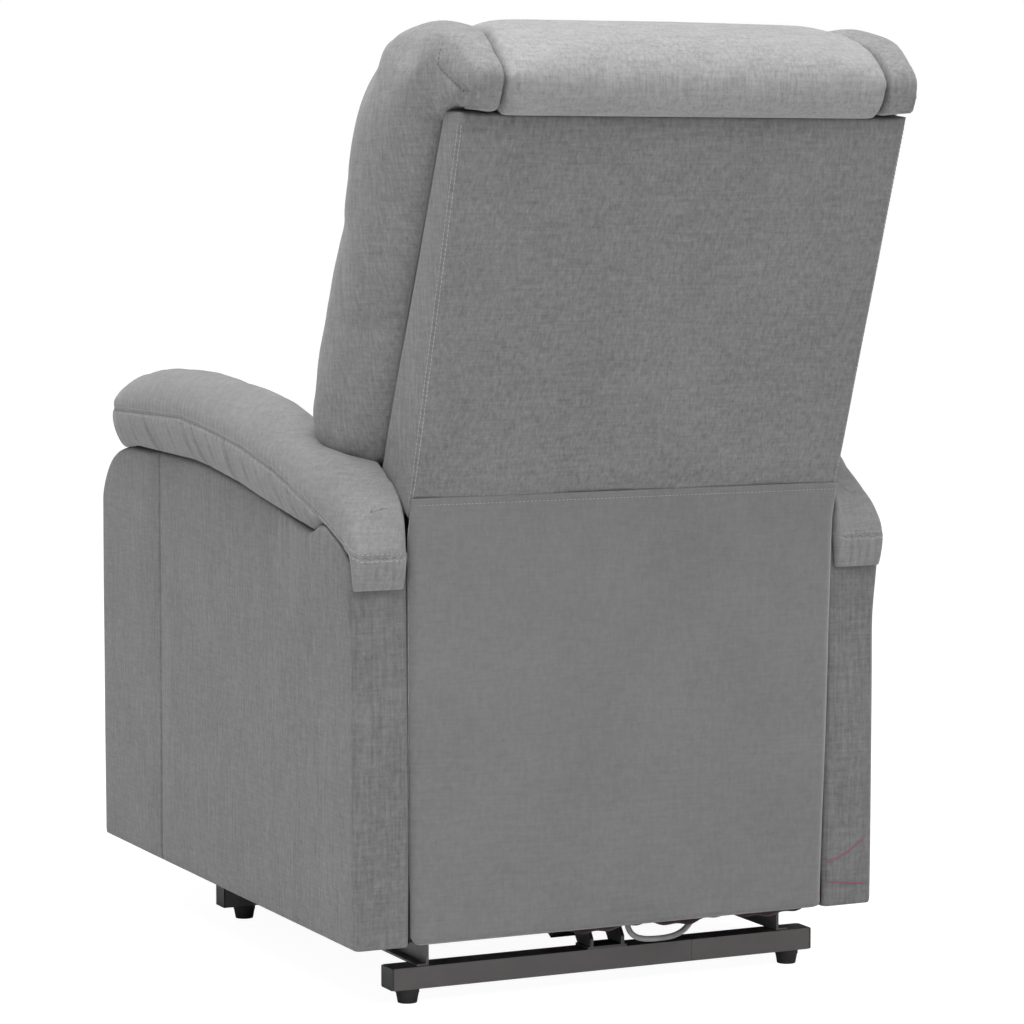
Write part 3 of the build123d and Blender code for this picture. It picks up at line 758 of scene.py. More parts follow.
PAD_TUCK, PAD_NOSE_TUCK = 14.5, 46.0    # how far the band's lower edge lies inside the outline
PAD_HALF, PAD_MIDDLE = (PAD_X1 - PAD_X0) / 2, (PAD_X1 + PAD_X0) / 2
# (share of the band's height below the seam, share of the tuck)
PAD_BAND_ROWS = [(0.99, 0.80), (0.96, 0.70), (0.91, 0.60), (0.84, 0.50), (0.75, 0.40),
                 (0.64, 0.30), (0.52, 0.20), (0.4, 0.12), (0.29, 0.06), (0.19, 0.03),
                 (0.11, 0.03), (0.06, 0.07), (0.03, 0.14)]
PAD_CROWN_INSETS = (1.2, 2.2, 3.6, 5.6, 8.4, 12, 16.5, 22, 28, 34, 39.5, PAD_HALF)
# slanted folds of the band: (y at the seam, slant, half width, depth)
PAD_FOLDS = [
    (-440, 12, 3.2, 1.5), (-420, 18, 3.6, 1.9), (-388, 20, 3.2, 1.3), (-345, 22, 3.2, 1.5),
    (-299, 43, 3.3, 4.6), (-272, 36, 3.0, 1.5), (-215, 26, 3.4, 1.1), (-164, 28, 3.1, 3.4),
    (-137, 40, 3.3, 4.8), (-84, 26, 3.4, 1.3), (-29, 21, 3.3, 4.4), (22, 24, 3.6, 1.5),
    (64, 24, 3.4, 1.3), (110, 26, 3.6, 1.8), (150, 26, 4, 2.0), (196, 24, 4, 1.7),
    (225, 20, 4, 1.3)]
UNDERSIDE, BAND, SEAM, CROWN = range(4)


def pad_plan():
    """Outline in plan: points, outward normals and angle round the nose (-1 elsewhere)."""
    points, normals, angles = [], [], []

    def add(x, y, normal, angle=-1):
        points.append((x, y))
        normals.append(normal)
        angles.append(angle)

    def corner(x, start, end):
        for a in np.linspace(start, end, 7):
            add(x + PAD_CORNER * math.cos(a), PAD_REAR_Y - PAD_CORNER + PAD_CORNER * math.sin(a),
                (math.cos(a), math.sin(a)))

    ys = np.linspace(PAD_NOSE_Y + 3, PAD_REAR_Y - PAD_CORNER - 3, 250)
    for y in ys:
        add(PAD_X1, y, (1, 0))
    corner(PAD_X1 - PAD_CORNER, 0, math.pi / 2)
    for x in np.linspace(PAD_X1 - PAD_CORNER, PAD_X0 + PAD_CORNER, 26)[1:-1]:
        add(x, PAD_REAR_Y, (0, 1))
    corner(PAD_X0 + PAD_CORNER, math.pi / 2, math.pi)
    for y in ys[::-1]:
        add(PAD_X0, y, (-1, 0))
    for t in np.linspace(math.pi, 0, 90):
        normal = np.array([math.cos(t) / PAD_HALF, -math.sin(t) / PAD_NOSE_LENGTH])
        normal /= np.linalg.norm(normal)
        add(PAD_MIDDLE + PAD_HALF * math.cos(t), PAD_NOSE_Y - PAD_NOSE_LENGTH * math.sin(t),
            tuple(normal), t)
    return np.array(points), np.array(normals), np.array(angles)


def pad_width(y):
    """Inner and outer edge of the pad at y."""
    u = np.clip((PAD_NOSE_Y - y) / PAD_NOSE_LENGTH, 0, 1)
    half = PAD_HALF * np.sqrt(np.maximum(1 - u * u, 0))
    outer_cut = np.interp(y, [-490, 60, 200, 250, 300, 327], [0, 0, 4, 8, 9, 9])
    inner_cut = np.interp(y, [-490, 90, 170, 228, 250, 300, 327], [0, 0, 3, 8, 12, 14, 15])
    return PAD_MIDDLE - half + inner_cut, PAD_MIDDLE + half - outer_cut


def pad_top(x, y):
    """Height of the crown over (x, y)."""
    xa, xb = pad_width(y)
    middle = 0.5 * (xa + xb)
    s = np.clip(np.abs(x - middle) / np.maximum(0.5 * (xb - xa), 1), 0, 1)
    dome = np.maximum(1 - s ** 2.3, 0) ** 0.56
    seam, crown = pad_seam_z(y), pad_crown_z(y)
    # towards the rear the inner half stays high
    tilt = smoothstep(60, 200, y) * np.clip((middle - x) / 18, 0, 1)
    lift = tilt * np.interp(y, [200, 240, 300, 320, 327], [0, 1, 7, 12, 6])
    return seam + (crown - seam) * np.maximum(dome, tilt * 0.99) + lift


def pad_folds(along, y, drop, region, outer, rear):
    """Outward push of the band's folds and pleats, and of the seam's puckers."""
    band = (region == BAND).astype(float)
    push = np.zeros(len(y))
    window = np.sin(np.clip(drop, 0, 1) * math.pi * 0.9 + 0.25)
    for start, slant, width, depth in PAD_FOLDS:
        off = y - (start + slant * drop)
        push -= band * outer * 1.25 * depth * bell(off / width) * window
        ridges = sum(bell((off + side * 2.4 * width) / (width * 1.5)) for side in (-1, 1))
        push += band * outer * depth * 0.42 * ridges * window
    # pleats across the rear
    phase = along / 10.5 * math.pi + 0.5 * drop + 0.7 * np.sin(along / 17.0)
    push += (band * rear * (0.9 - 3.4 * bell(np.sin(phase) / 0.5))
             * np.sin(np.clip(drop, 0, 1) * math.pi * 0.8 + 0.4))
    # sewing puckers either side of the seam
    pucker = np.sin(along / 11.5 * 2 * math.pi + 1.6 * np.sin(along / 61.0))
    reach = np.where(region == BAND, bell(drop / 0.22),
                     np.where(region == CROWN, bell(drop / 9.0), 0))
    return push + pucker * 0.45 * reach


def arm_pad(name):
    """The pad, with its outline in plan and the seam height at each outline point."""
    plan, normals, angle = pad_plan()
    nose = angle >= 0
    nose_cos, nose_sin = np.cos(angle[nose]), np.sin(angle[nose])
    y = plan[:, 1]
    xa, xb = pad_width(y)
    outline = plan.copy()
    across = (plan[:, 0] - PAD_X0) / (PAD_X1 - PAD_X0)
    outline[~nose, 0] = (across * (xb - xa) + xa)[~nose]
    seam = pad_seam_z(y)
    rear = (normals[:, 1] > 0.75).astype(float)

    def ring(tuck, extra=0.0, nose_tuck=None):
        """The outline drawn in by a share of the tuck, plus extra."""
        inset = PAD_TUCK * tuck + extra
        side_inset = np.where(y > 296, PAD_TUCK * tuck * 0.2 + extra, inset)
        q = outline - np.column_stack([normals[:, 0] * side_inset, normals[:, 1] * inset])
        nose_tuck = tuck if nose_tuck is None else nose_tuck
        q[nose, 0] = PAD_MIDDLE + (PAD_HALF - PAD_TUCK * tuck - extra) * nose_cos
        q[nose, 1] = (PAD_NOSE_Y
                      - (PAD_NOSE_LENGTH - PAD_NOSE_TUCK * nose_tuck - extra) * nose_sin)
        return q

    hem = np.minimum(pad_band_z(ring(1.0)[:, 1]), seam - 4)
    hem = np.where(rear > 0, PAD_REAR_Z, hem)
    corner = (normals[:, 1] > 0.02) & (normals[:, 1] <= 0.75)
    corner_z = (PAD_REAR_Z + (seam - 6 - PAD_REAR_Z)
                * (1 - smoothstep(0.02, 0.5, normals[:, 1])))
    hem = np.where(corner, corner_z, hem)

    rows, drops, regions = [], [], []

    def add(q, z, drop, region):
        rows.append(np.column_stack([q, z]))
        drops.append(drop)
        regions.append(region)

    middle = ring(1.0, 10)
    middle[:, 0] = np.where(nose, PAD_MIDDLE, 0.5 * (xa + xb))
    middle[nose, 1] = PAD_NOSE_Y
    middle[:, 1] = np.minimum(middle[:, 1], 300)
    floor_z = np.interp(middle[:, 1], [-400, 200, 300], [552, 506, 492])
    add(middle, np.maximum(hem, floor_z) + 6, 1, UNDERSIDE)
    add(ring(1.0, 10), hem + 6, 1, UNDERSIDE)
    add(ring(1.0, 3), hem + 1, 1, UNDERSIDE)
    for v, tuck in PAD_BAND_ROWS:
        nose_tuck = 1 - math.sqrt(max(1 - v ** 2.2, 0)) if v > 0.1 else 0.02 + 0.1 * tuck
        add(ring(tuck, nose_tuck=nose_tuck), seam + (hem - seam) * v, v, BAND)
    add(ring(0.17, nose_tuck=0.03), seam, 0, SEAM)
    for inset in PAD_CROWN_INSETS:
        t = inset / PAD_HALF
        q = outline.copy()
        q[:, 1] = np.where(nose, PAD_NOSE_Y - PAD_NOSE_LENGTH * (1 - t) * np.sin(angle),
                           y - inset * np.clip(normals[:, 1], 0, 1))
        x2a, x2b = pad_width(q[:, 1])
        middle_x = 0.5 * (x2a + x2b)
        q[:, 0] = np.where(nose, PAD_MIDDLE + PAD_HALF * (1 - t) * np.cos(angle),
                           middle_x + (outline[:, 0] - middle_x) * (1 - t))
        base = pad_seam_z(q[:, 1])
        # round over the rear end
        from_rear = np.clip((PAD_REAR_Y - q[:, 1]) / 17.0, 0, 1)
        rounding = np.sqrt(np.maximum(1 - (1 - from_rear) ** 2, 0))
        z = base + (pad_top(q[:, 0], q[:, 1]) - base) * rounding
        add(q, np.maximum(z, base + 1.0), -inset, CROWN)

    n = len(outline)
    count = len(rows)
    verts = np.concatenate(rows)
    drop, region = np.repeat(drops, n), np.repeat(regions, n)
    steps = np.linalg.norm(np.diff(outline, axis=0), axis=1)
    along = np.tile(np.concatenate([[0], np.cumsum(steps)]), count)
    outer = np.tile((normals[:, 0] > 0.3).astype(float), count)
    push = pad_folds(along, np.tile(y, count), drop, region, outer, np.tile(rear, count))
    normals3 = np.column_stack([np.tile(normals, (count, 1)), np.zeros(len(verts))])
    verts = verts + normals3 * push[:, None]
    waves = 0.9 * smooth_noise(verts, 210, 41) + 0.15 * smooth_noise(verts, 70, 42)
    verts[:, 2] += np.where(region == CROWN, np.clip(-drop / 30, 0, 1) * waves, 0)
    ob = make(name, verts, loft_faces(count, n), WEAVE_LIGHT, merge=0.6)

    c = coords_mm(ob)
    rise = c[:, 2] - pad_seam_z(np.clip(c[:, 1], -468, 328))
    hold = np.where(rise < 3, 1.0, np.where(rise < 14, 0.5, 0.0))
    inflate(ob, hold, pressure=1.2, frames=12, cap=4.0, shrink=-0.02, stiffness=14)
    ridge = (rise > 9) & (c[:, 1] > 250) & (np.abs(c[:, 0] - 289) < 25)
    relax(ob, 1, np.where(rise < 6, 1.0, 0.2))
    relax(ob, 5, np.where((c[:, 1] > 265) & (rise > 5), 0.2, 1.0))
    relax(ob, 6, np.where((rise > 12) & (c[:, 1] < 280), 0.0, 1.0))
    relax(ob, 40, np.where(ridge, 0.0, 1.0))
    finish_mesh(ob, 1)
    return ob, outline, seam


def pad_stitching(pads, outline, seam):
    """Thread rows above and below the seam, and a dark row along it as painted shadow in the
    seam groove, on the outer side and round the nose.
    """
    seam_ring = np.column_stack([outline, seam])
    side_end = int(np.argmax(outline[:, 0] < 262))
    tip = np.where((outline[:, 1] < PAD_NOSE_Y) & (outline[:, 0] > 262))[0]
    line = np.concatenate([seam_ring[tip], seam_ring[:side_end]])
    above = line + np.array([-1.2, 0, 3.8])
    below = line + np.array([0.0, 0, -3.4])
    for (sign, side), pad in zip(SIDES, pads):
        m = np.array([sign, 1, 1])
        stitches("arm_pad_topstitch_" + side, [above * m], pad, THREAD, "chassis",
                 pitch=5.6, length=3.9)
        stitches("arm_pad_seam_thread_" + side, [below * m], pad, THREAD, "chassis",
                 pitch=5.6, length=3.9, radius=0.36)
        # dark row sunk into the seam: painted shadow of the seam groove
        stitches("arm_pad_seam_shadow_line_" + side, [line * m], pad, PAINTED_SHADOW_THREAD, "chassis",
                 pitch=2.6, length=3.0, radius=0.5, lift=-0.15)


pad_left, pad_outline, pad_seam = arm_pad("arm_pad_cloth_left")
pad_right = mirror_pair(pad_left, "chassis", "arm_pad")
pad_stitching((pad_left, pad_right), pad_outline, pad_seam)

# ======================================================================
# back: rear panel and side gussets
# ======================================================================
# (y, z) ends of the rear face, and its outward normal
REAR_FOOT, REAR_HEAD = np.array([323.0, 546.5]), np.array([457.0, 943.0])
REAR_NORMAL = (0.947, -0.320)
# (y, z) of the sewn line where the gusset meets the wing
GUSSET = np.array([(242, 578), (283, 671), (332, 776), (386, 890), (413, 949)], float)
GUSSET_LENGTHS = np.concatenate([[0], np.cumsum(np.linalg.norm(np.diff(GUSSET, axis=0),
                                                               axis=1))])
BACK_CORNER = 3.2


def rear_point(t):
    return REAR_FOOT + (REAR_HEAD - REAR_FOOT) * t


def gusset_point(t):
    s = t * GUSSET_LENGTHS[-1]
    return np.array([np.interp(s, GUSSET_LENGTHS, GUSSET[:, k]) for k in (0, 1)])


def back_half_width(t):
    return 257.0 + 4.0 * t


def back_ring(t):
    """Closed section of the back at height share t."""
    rear = rear_point(t)
    inside = min(max(t, 0), 1)
    gusset = gusset_point(inside) + (rear - rear_point(inside))
    width = back_half_width(t)
    depth = np.linalg.norm(gusset - rear)
    forward = (gusset - rear) / depth
    half_xs = np.concatenate([[0], np.linspace(0, 1, 16)[1:] * 228,
                              [236, 241, 244.5, 246, 247.2, 248.4, 249.8, 251.5]])
    half_xs = half_xs * ((width - BACK_CORNER) / 251.5)

    # each entry is (x, distance forward, sideways normal, rearward normal)
    half = [(width - BACK_CORNER + BACK_CORNER * math.sin(a),
             BACK_CORNER - BACK_CORNER * math.cos(a), math.sin(a), math.cos(a))
            for a in np.linspace(0, math.pi / 2, 5)[1:-1]]
    half += [(width - 7.0 * float(smoothstep(depth - 8, depth + 3, dd)), dd, 1, 0)
             for dd in np.linspace(BACK_CORNER, depth + 14, 14)]
    section = [(x, 0.0, 0, 1) for x in list(-half_xs[::-1]) + list(half_xs[1:])]
    section += half
    section += [(x, depth + 22, 0, 0) for x in np.linspace(width - 22, -width + 22, 20)]
    section += [(-x, dd, -side, back) for x, dd, side, back in reversed(half)]
    x, dd, side, back = np.array(section, float).T

    points = np.column_stack([x, rear[0] + forward[0] * dd, rear[1] + forward[1] * dd])
    normals = np.column_stack([side, back * REAR_NORMAL[0], back * REAR_NORMAL[1]])
    rear_face = (back > 0.99).astype(float)
    side_face = (np.abs(side) > 0.99).astype(float)
    edge = np.clip((width - np.abs(x)) / 40, 0, 1)
    end = np.clip(min(t, 1 - t) * 420 / 30, 0, 1)
    push = rear_face * 3.0 * np.sqrt(edge) * math.sqrt(end)
    push -= rear_face * 1.1 * bell((np.abs(x) - (width - 2.0)) / 1.2) * (0 < t < 1)
    push += side_face * (1.8 * np.sin(np.clip(dd / max(depth, 1), 0, 1) * math.pi)
                         - 0.9 * bell((dd - 2.4) / 1.2))
    return points + normals * push[:, None]


def back_panel():
    shares = np.concatenate([[-0.05, -0.02], np.linspace(0.0, 1.0, 44), [1.008]])
    rings = [back_ring(t) for t in shares]
    verts = np.concatenate(rings)
    waves = (smooth_noise(verts, 210, 11) * 0.8
             + smooth_noise(verts * np.array([1, 0.3, 0.3]), 60, 12) * 0.22)
    verts[:, 1] += waves * 0.9
    ob = make("back_rear_panel", verts, loft_faces(len(rings), len(rings[0]), caps=True),
              WEAVE_SIDE, merge=0.05)
    triangulate_caps(ob)
    finish_mesh(ob, 1)
    tag(ob, "backrest", "back_cover")
    return ob


def back_topstitch(back):
    """Two thread rows by each rear edge: on the rear face and on the gusset."""
    for sign, side in SIDES:
        on_rear, on_gusset = [], []
        for t in np.linspace(0.0, 0.985, 60):
            rear = rear_point(t)
            width = back_half_width(t)
            on_rear.append((sign * (width - 2.2), rear[0] + REAR_NORMAL[0] * 2,
                            rear[1] + REAR_NORMAL[1] * 2))
            forward = gusset_point(t) - rear
            q = rear + forward / np.linalg.norm(forward) * 2.4
            on_gusset.append((sign * width, q[0], q[1]))
        stitches("back_topstitch_" + side, [on_rear, on_gusset], back, THREAD, "backrest",
                 pitch=5.0, length=4.2)


back_topstitch(back_panel())

# ======================================================================
# pillows
# ======================================================================
def pillow(name, outline, x_range, material, voxels, hold_at, pressure, cap, rounds,
           warp=None):
    """Prism of a (y, z) outline, remeshed, relaxed and inflated.

    voxels is (full size, quick size), and the quick size is not used; hold_at gives the pinned
    weight at points in mm.
    """
    ob = poly_prism(name, outline, *x_range, material)
    voxel_remesh(ob, voxels[0])
    if warp is not None:
        set_coords_mm(ob, warp(coords_mm(ob)))
    hold = hold_at(coords_mm(ob))
    relax(ob, rounds, hold)
    inflate(ob, hold, pressure=pressure, frames=18, cap=cap, shrink=-0.01, stiffness=10)
    relax(ob, 3, hold * 0.5)
    finish_mesh(ob, 1)
    return ob


def hold_ends(x):
    """Pin everything farther than x from the middle."""
    return lambda c: np.where(np.abs(c[:, 0]) > x, 1.0, 0.0)


def head_seam_shift(y):
    """The seam between ear and head pillow swings outwards towards the rear."""
    return 17.0 * smoothstep(385, 462, y)


# ----------------------------------------------------------------------
# wings with rolled ears
# ----------------------------------------------------------------------
WING_INNER_X = 206
WING_OUTER_X = 262
# (y, z) of the front edge, from the foot up and over the ear
WING_FRONT = [
    (217, 573), (163, 574), (127, 590), (116, 626), (130, 690), (162, 768), (208, 880),
    (240, 960), (268, 1004), (300, 1028), (345, 1038), (399, 1036), (440, 1024), (474, 1001),
    (490, 983), (486, 966), (472, 947), (457, 945)]
WING_REAR = [(413, 949), (386, 890), (332, 776), (283, 671), (242, 576)]
WING = WING_REAR + [
    (float(y) - 3 * (1 - float(smoothstep(320, 380, y))), float(z) + 1.5)
    for y, z in spline(WING_FRONT)]
# (z, x) of the sewn line between wing and gusset
wing_seam_x = interp([(573, 256), (616, 256), (670, 257), (734, 260), (950, 262)])


def wing_hold(c):
    hold = np.where(line_distance(c[:, 1:3], GUSSET) < 8, 1.0, 0.0)
    # seam with the middle pillows
    inner = c[:, 0] < 211 + head_seam_shift(c[:, 1])
    hold = np.maximum(hold, np.where(inner, 0.75, 0.0))
    # rear seam under the ear
    under_ear = np.array([(413, 949), (457, 945), (474, 947)], float)
    return np.maximum(hold, np.where(line_distance(c[:, 1:3], under_ear) < 8, 1.0, 0.0))


def wing_warp(c):
    """The outer face rolls out of the sewn line and narrows again at the rear of the ear."""
    c = c.copy()
    d = line_distance(c[:, 1:3], GUSSET)
    k = np.clip((c[:, 0] - WING_INNER_X) / (WING_OUTER_X - WING_INNER_X), 0, 1)
    roll = np.sqrt(np.maximum(1 - (1 - np.clip(d / 44, 0, 1)) ** 2, 0))
    rear = smoothstep(400, 470, c[:, 1])
    seam = wing_seam_x(c[:, 2]) - 1.0
    widest = 288 - 8 * smoothstep(945, 1005, c[:, 2])
    outer = seam - 8 + (widest - seam + 8) * roll
    outer = outer * (1 - rear) + 263 * rear
    shift = head_seam_shift(c[:, 1])
    c[:, 0] = WING_INNER_X + shift + k * (outer - WING_INNER_X - shift)
    return c


def rest_on_pad(ob):
    """Lift the wing's lower outer part to just below the top of the arm pad."""
    c = coords_mm(ob)
    top = pad_top(np.clip(c[:, 0], 262, 330), c[:, 1]) - 6.0
    limit = np.where(c[:, 0] > 244, top, -1e9)
    c[:, 2] = np.where(c[:, 1] < 262, np.maximum(c[:, 2], limit), c[:, 2])
    set_coords_mm(ob, c)


def ear_detail(ob):
    """Gathers under the ear and the short dart beside its sewn line."""
    c = coords_mm(ob)
    normals = read_array(ob.data.vertices, "normal", 3)
    corner = np.array([257.0, 462.0, 951.0])
    push = -2.6 * bell(np.linalg.norm(c - corner, axis=1) / 15)
    dart = np.array([(270.0, 432.0, 993.0), (263.0, 470.0, 966.0)])
    push -= 2.6 * bell(line_distance(c, dart) / 4.2)
    pleat = np.array([(270.0, 432.0, 993.0), (271.0, 431.0, 1018.0)])
    push -= 1.8 * bell(line_distance(c, pleat) / 4.2)
    # gathers that fan out below the dart
    fan = np.array([262.0, 473.0, 956.0])
    distance = np.linalg.norm(c - fan, axis=1)
    angle = np.arctan2(c[:, 2] - fan[2], c[:, 1] - fan[1])
    push += 1.5 * np.sin(angle * 13) * bell((distance - 11) / 9)
    # hollow under the rolled ear
    hollow, hollow_size = np.array([262.0, 446.0, 950.0]), np.array([22, 15, 10.0])
    push -= 7.0 * bell(np.linalg.norm((c - hollow) / hollow_size, axis=1))
    push += 0.5 * smooth_noise(c, 90, 21) + 0.15 * smooth_noise(c, 40, 22)
    set_coords_mm(ob, c + normals * push[:, None])


def wing_sewing(wings):
    """Dark cord in the crease along the gusset line as painted shadow, and dark stitches as
    painted shade in the ear's dart.
    """
    line = densify(GUSSET, 8)
    x = wing_seam_x(line[:, 1]) - 4.0
    for (sign, side), wing in zip(SIDES, wings):
        # dark cord in the crease between wing and gusset: painted shadow
        cord("wing_seam_shadow_cord_" + side, np.column_stack([sign * x, line])[2:-1], 1.7,
             PAINTED_SHADOW_THREAD, "backrest", "weave_grey")
        dart = [(sign * 270, 432, 993), (sign * 263, 470, 966)]
        pleat = [(sign * 270, 432, 994), (sign * 271, 431, 1016)]
        # dark stitches in the dart: painted shade of the dart's crease
        stitches("ear_dart_shadow_stitch_" + side, [dart, pleat], wing, PAINTED_SHADOW_THREAD, "backrest",
                 pitch=4.6, length=3.2, radius=0.7)


wing_left = pillow("wing_cloth_left", round_poly(WING), (WING_INNER_X, WING_OUTER_X),
                   WEAVE_WING, voxels=(6.5, 12), hold_at=wing_hold, pressure=4.2, cap=13,
                   rounds=24, warp=wing_warp)
rest_on_pad(wing_left)
ear_detail(wing_left)
wing_right = mirror_pair(wing_left, "backrest", "wing")
wing_sewing((wing_left, wing_right))

# ----------------------------------------------------------------------
# head pillow, middle pillow, lumbar roll: (y, z) outlines
# ----------------------------------------------------------------------
HEAD_FRONT = [
    (204, 890), (234, 955), (266, 1004), (300, 1029), (345, 1039), (399, 1038), (440, 1026),
    (474, 1003), (490, 984), (486, 966), (471, 946), (455, 944)]
HEAD = [(413, 949), (386, 890), (347, 808), (214, 808), (192, 832), *spline(HEAD_FRONT)]
MIDDLE = [(345, 802), (332, 776), (283, 671), (247, 590), (156, 590), (132, 606), (130, 650),
          (158, 728), (190, 786), (206, 802)]
LUMBAR = [(236, 500), (240, 572), (224, 573), (168, 572), (126, 566), (110, 544), (112, 508),
          (128, 488), (162, 482), (228, 482)]
PILLOW_HALF = 205
LUMBAR_HALF = 240
PILLOW_VOXELS = (8.0, 14)


def head_warp(c):
    c = c.copy()
    c[:, 0] *= 1 + head_seam_shift(c[:, 1]) / 205.0
    return c


def head_hold(c):
    hold = np.where(np.abs(c[:, 0]) > 200 + head_seam_shift(c[:, 1]), 1.0, 0.0)
    low_seam = np.array([(413, 949), (457, 946), (477, 949)], float)
    return np.maximum(hold, np.where(line_distance(c[:, 1:3], low_seam) < 7, 1.0, 0.0))


# the head pillow takes the lighter weave copy, which is painted light
head = pillow("head_pillow_cloth", round_poly(HEAD), (-PILLOW_HALF, PILLOW_HALF), WEAVE_HEAD_PAINTED_LIGHT,
              PILLOW_VOXELS, head_hold, pressure=4.0, cap=8, rounds=6, warp=head_warp)
middle = pillow("middle_pillow_cloth", round_poly(MIDDLE), (-PILLOW_HALF, PILLOW_HALF),
                WEAVE_LIGHT, PILLOW_VOXELS, hold_ends(PILLOW_HALF - 5), pressure=4.5, cap=16,
                rounds=8)
lumbar = pillow("lumbar_roll_cloth", round_poly(LUMBAR), (-LUMBAR_HALF, LUMBAR_HALF),
                WEAVE_LIGHT, PILLOW_VOXELS, hold_ends(LUMBAR_HALF - 4), pressure=4.5, cap=9,
                rounds=8)
for ob, node in ((head, "head_pillow"), (middle, "middle_pillow"), (lumbar, "lumbar_roll")):
    tag(ob, "backrest", node)

# ======================================================================
# rear flap, hook strip and arm linings
# ======================================================================
FLAP_Z0, FLAP_Z1 = 71, 548.5
FLAP_HALF_FOOT, FLAP_WIDENING = 250.5, 6.3
FLAP_CORNER = 10            # radius of the bottom corners
FLAP_THICK = 2.4
FLAP_STITCH_Z = 540.5


def follow_back(ob):
    """Bake the object's transform into its mesh."""
    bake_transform(ob)


def rear_flap():
    shares = np.concatenate([[0, 0.004, 0.01], np.linspace(0.02, 0.98, 90), [0.99, 0.996, 1]])
    columns = 74
    grid = []
    for t in shares:
        z = FLAP_Z0 + t * (FLAP_Z1 - FLAP_Z0)
        cut = 0
        if z < FLAP_Z0 + FLAP_CORNER:
            below = max(0, FLAP_CORNER - (z - FLAP_Z0))
            cut = FLAP_CORNER - math.sqrt(max(0, FLAP_CORNER ** 2 - below ** 2))
        for u in np.linspace(-1, 1, columns):
            x = u * (FLAP_HALF_FOOT + FLAP_WIDENING * t - cut)
            grid.append((x, 313.2 + 12.6 * t ** 1.15, z))
    verts = np.array(grid)
    x, z = verts[:, 0].copy(), verts[:, 2].copy()
    t = (z - FLAP_Z0) / (FLAP_Z1 - FLAP_Z0)
    # broad sag, gathers at the top, thicker hems, sunken stitch row
    sag = 1.5 * np.sin(x / 510 * math.pi * 2.2 + 0.6) * np.sin(t * math.pi)
    sag += (1.2 * smooth_noise(verts * np.array([1, 0, 0.8]), 190, 31)
            * np.sin(np.clip(t, 0, 1) * math.pi) ** 0.5)
    sag += 0.8 * np.sin(x / 36) * np.exp(-((1 - t) / 0.05))
    sag += 0.35 * np.sin(x / 9.3 + np.sin(x / 31)) * np.exp(-((1 - t) / 0.022))
    sag += 0.9 * np.clip(bell((np.abs(x) - 252) / 5) + bell((z - 73) / 5), 0, 1)
    sag -= 0.8 * bell((z - FLAP_STITCH_Z) / 1.6)
    # side and bottom edges turn forwards
    half = FLAP_HALF_FOOT + FLAP_WIDENING * np.clip(t, 0, 1)
    over = np.clip((np.abs(x) - (half - 5)) / 5, 0, 1)
    side_turn = 9.0 * over ** 2.2 * (1 - smoothstep(0.9, 1.0, t))
    foot_turn = 5.0 * np.clip((78 - z) / 7, 0, 1) ** 2
    verts[:, 0] += np.sign(x) * 0.8 * over
    verts[:, 1] += sag - side_turn - foot_turn
    inner = verts.copy()
    inner[:, 1] -= FLAP_THICK
    inner[:, 0] *= 0.9985
    ob = make("rear_flap_cloth", np.concatenate([verts, inner]),
              sheet_faces(columns, len(shares)), WEAVE_FLAP, merge=0.02)
    finish_mesh(ob, 1)
    tag(ob, node="rear_flap")
    line = [(x, 326, 540.8) for x in np.linspace(-253, 253, 80)]
    thread = stitches("rear_flap_topstitch", [line], ob, THREAD, None, pitch=4.6,
                      length=3.1, radius=0.36, slot="flap_grey")
    follow_back(ob)
    follow_back(thread)


def hook_strip():
    """Thin black strip just ahead of the flap's top edge."""
    xs = np.linspace(-242, 242, 60)
    zs = np.linspace(494, 541, 8)
    outer, inner = [], []
    for z in zs:
        y = 323 - (546.5 - z) * 0.02 - 3.5
        for x in xs:
            outer.append((x, y + 0.15 * math.sin(x * 0.9), z))
            inner.append((x, y - 1.8, z))
    ob = make("hook_strip_tape", outer + inner, sheet_faces(len(xs), len(zs)), TAPE)
    tag(ob, node="flap_hook_strip")
    follow_back(ob)


def arm_gap_shade_linings():
    """Near-black maroon sheet on the inner face of each arm, just ahead of the flap's edges:
    painted shade in the gap between flap and arm, in the lining's tint.
    """
    zs = np.linspace(74, 470, 40)
    ys = np.linspace(262, 306, 8)
    for sign, side in SIDES:
        verts = [(sign * (x + 0.25 * math.sin(z / 21 + y / 13)), y, z)
                 for x in (250.9, 252.1) for z in zs for y in ys]
        # near-black sheet: painted shade in the gap, with the lining's maroon tint
        make("arm_gap_shade_lining_" + side, verts, flipped(sheet_faces(len(ys), len(zs))), MAROON_PAINTED_SHADE,
             merge=0.01, slot="strip_black", body="chassis")


rear_flap()
hook_strip()
arm_gap_shade_linings()

# ======================================================================
# seat cushion and footrest pad: (y, z) outlines
# ======================================================================
SEAT = [(-470, 374), (-482, 396), (-483, 432), (-474, 456), (-446, 468), (-380, 472),
        (-120, 467), (60, 458), (98, 448), (103, 430), (103, 372)]
FOOTREST = [(-466, 102), (-478, 102), (-489, 110), (-492, 130), (-492, 320), (-489, 340),
            (-478, 349), (-466, 349)]
SEAT_HALF = 240
FOOTREST_HALF = 243


def seat_warp(c):
    """Crown the top across its width."""
    c = c.copy()
    top = smoothstep(440, 470, c[:, 2])
    c[:, 2] += top * 4 * np.cos(np.clip(c[:, 0] / SEAT_HALF, -1, 1) * math.pi / 2)
    return c


def seat_hold(c):
    return np.where((np.abs(c[:, 0]) > SEAT_HALF - 6) | (c[:, 2] < 382), 1.0, 0.0)


def footrest_hold(c):
    """Pin the rear side, and a strip at mid height just ahead of it."""
    strip = (np.abs(c[:, 2] - 226) < 5) & (c[:, 1] < -470)
    return np.where((c[:, 1] > -474) | strip, 1.0, 0.0)


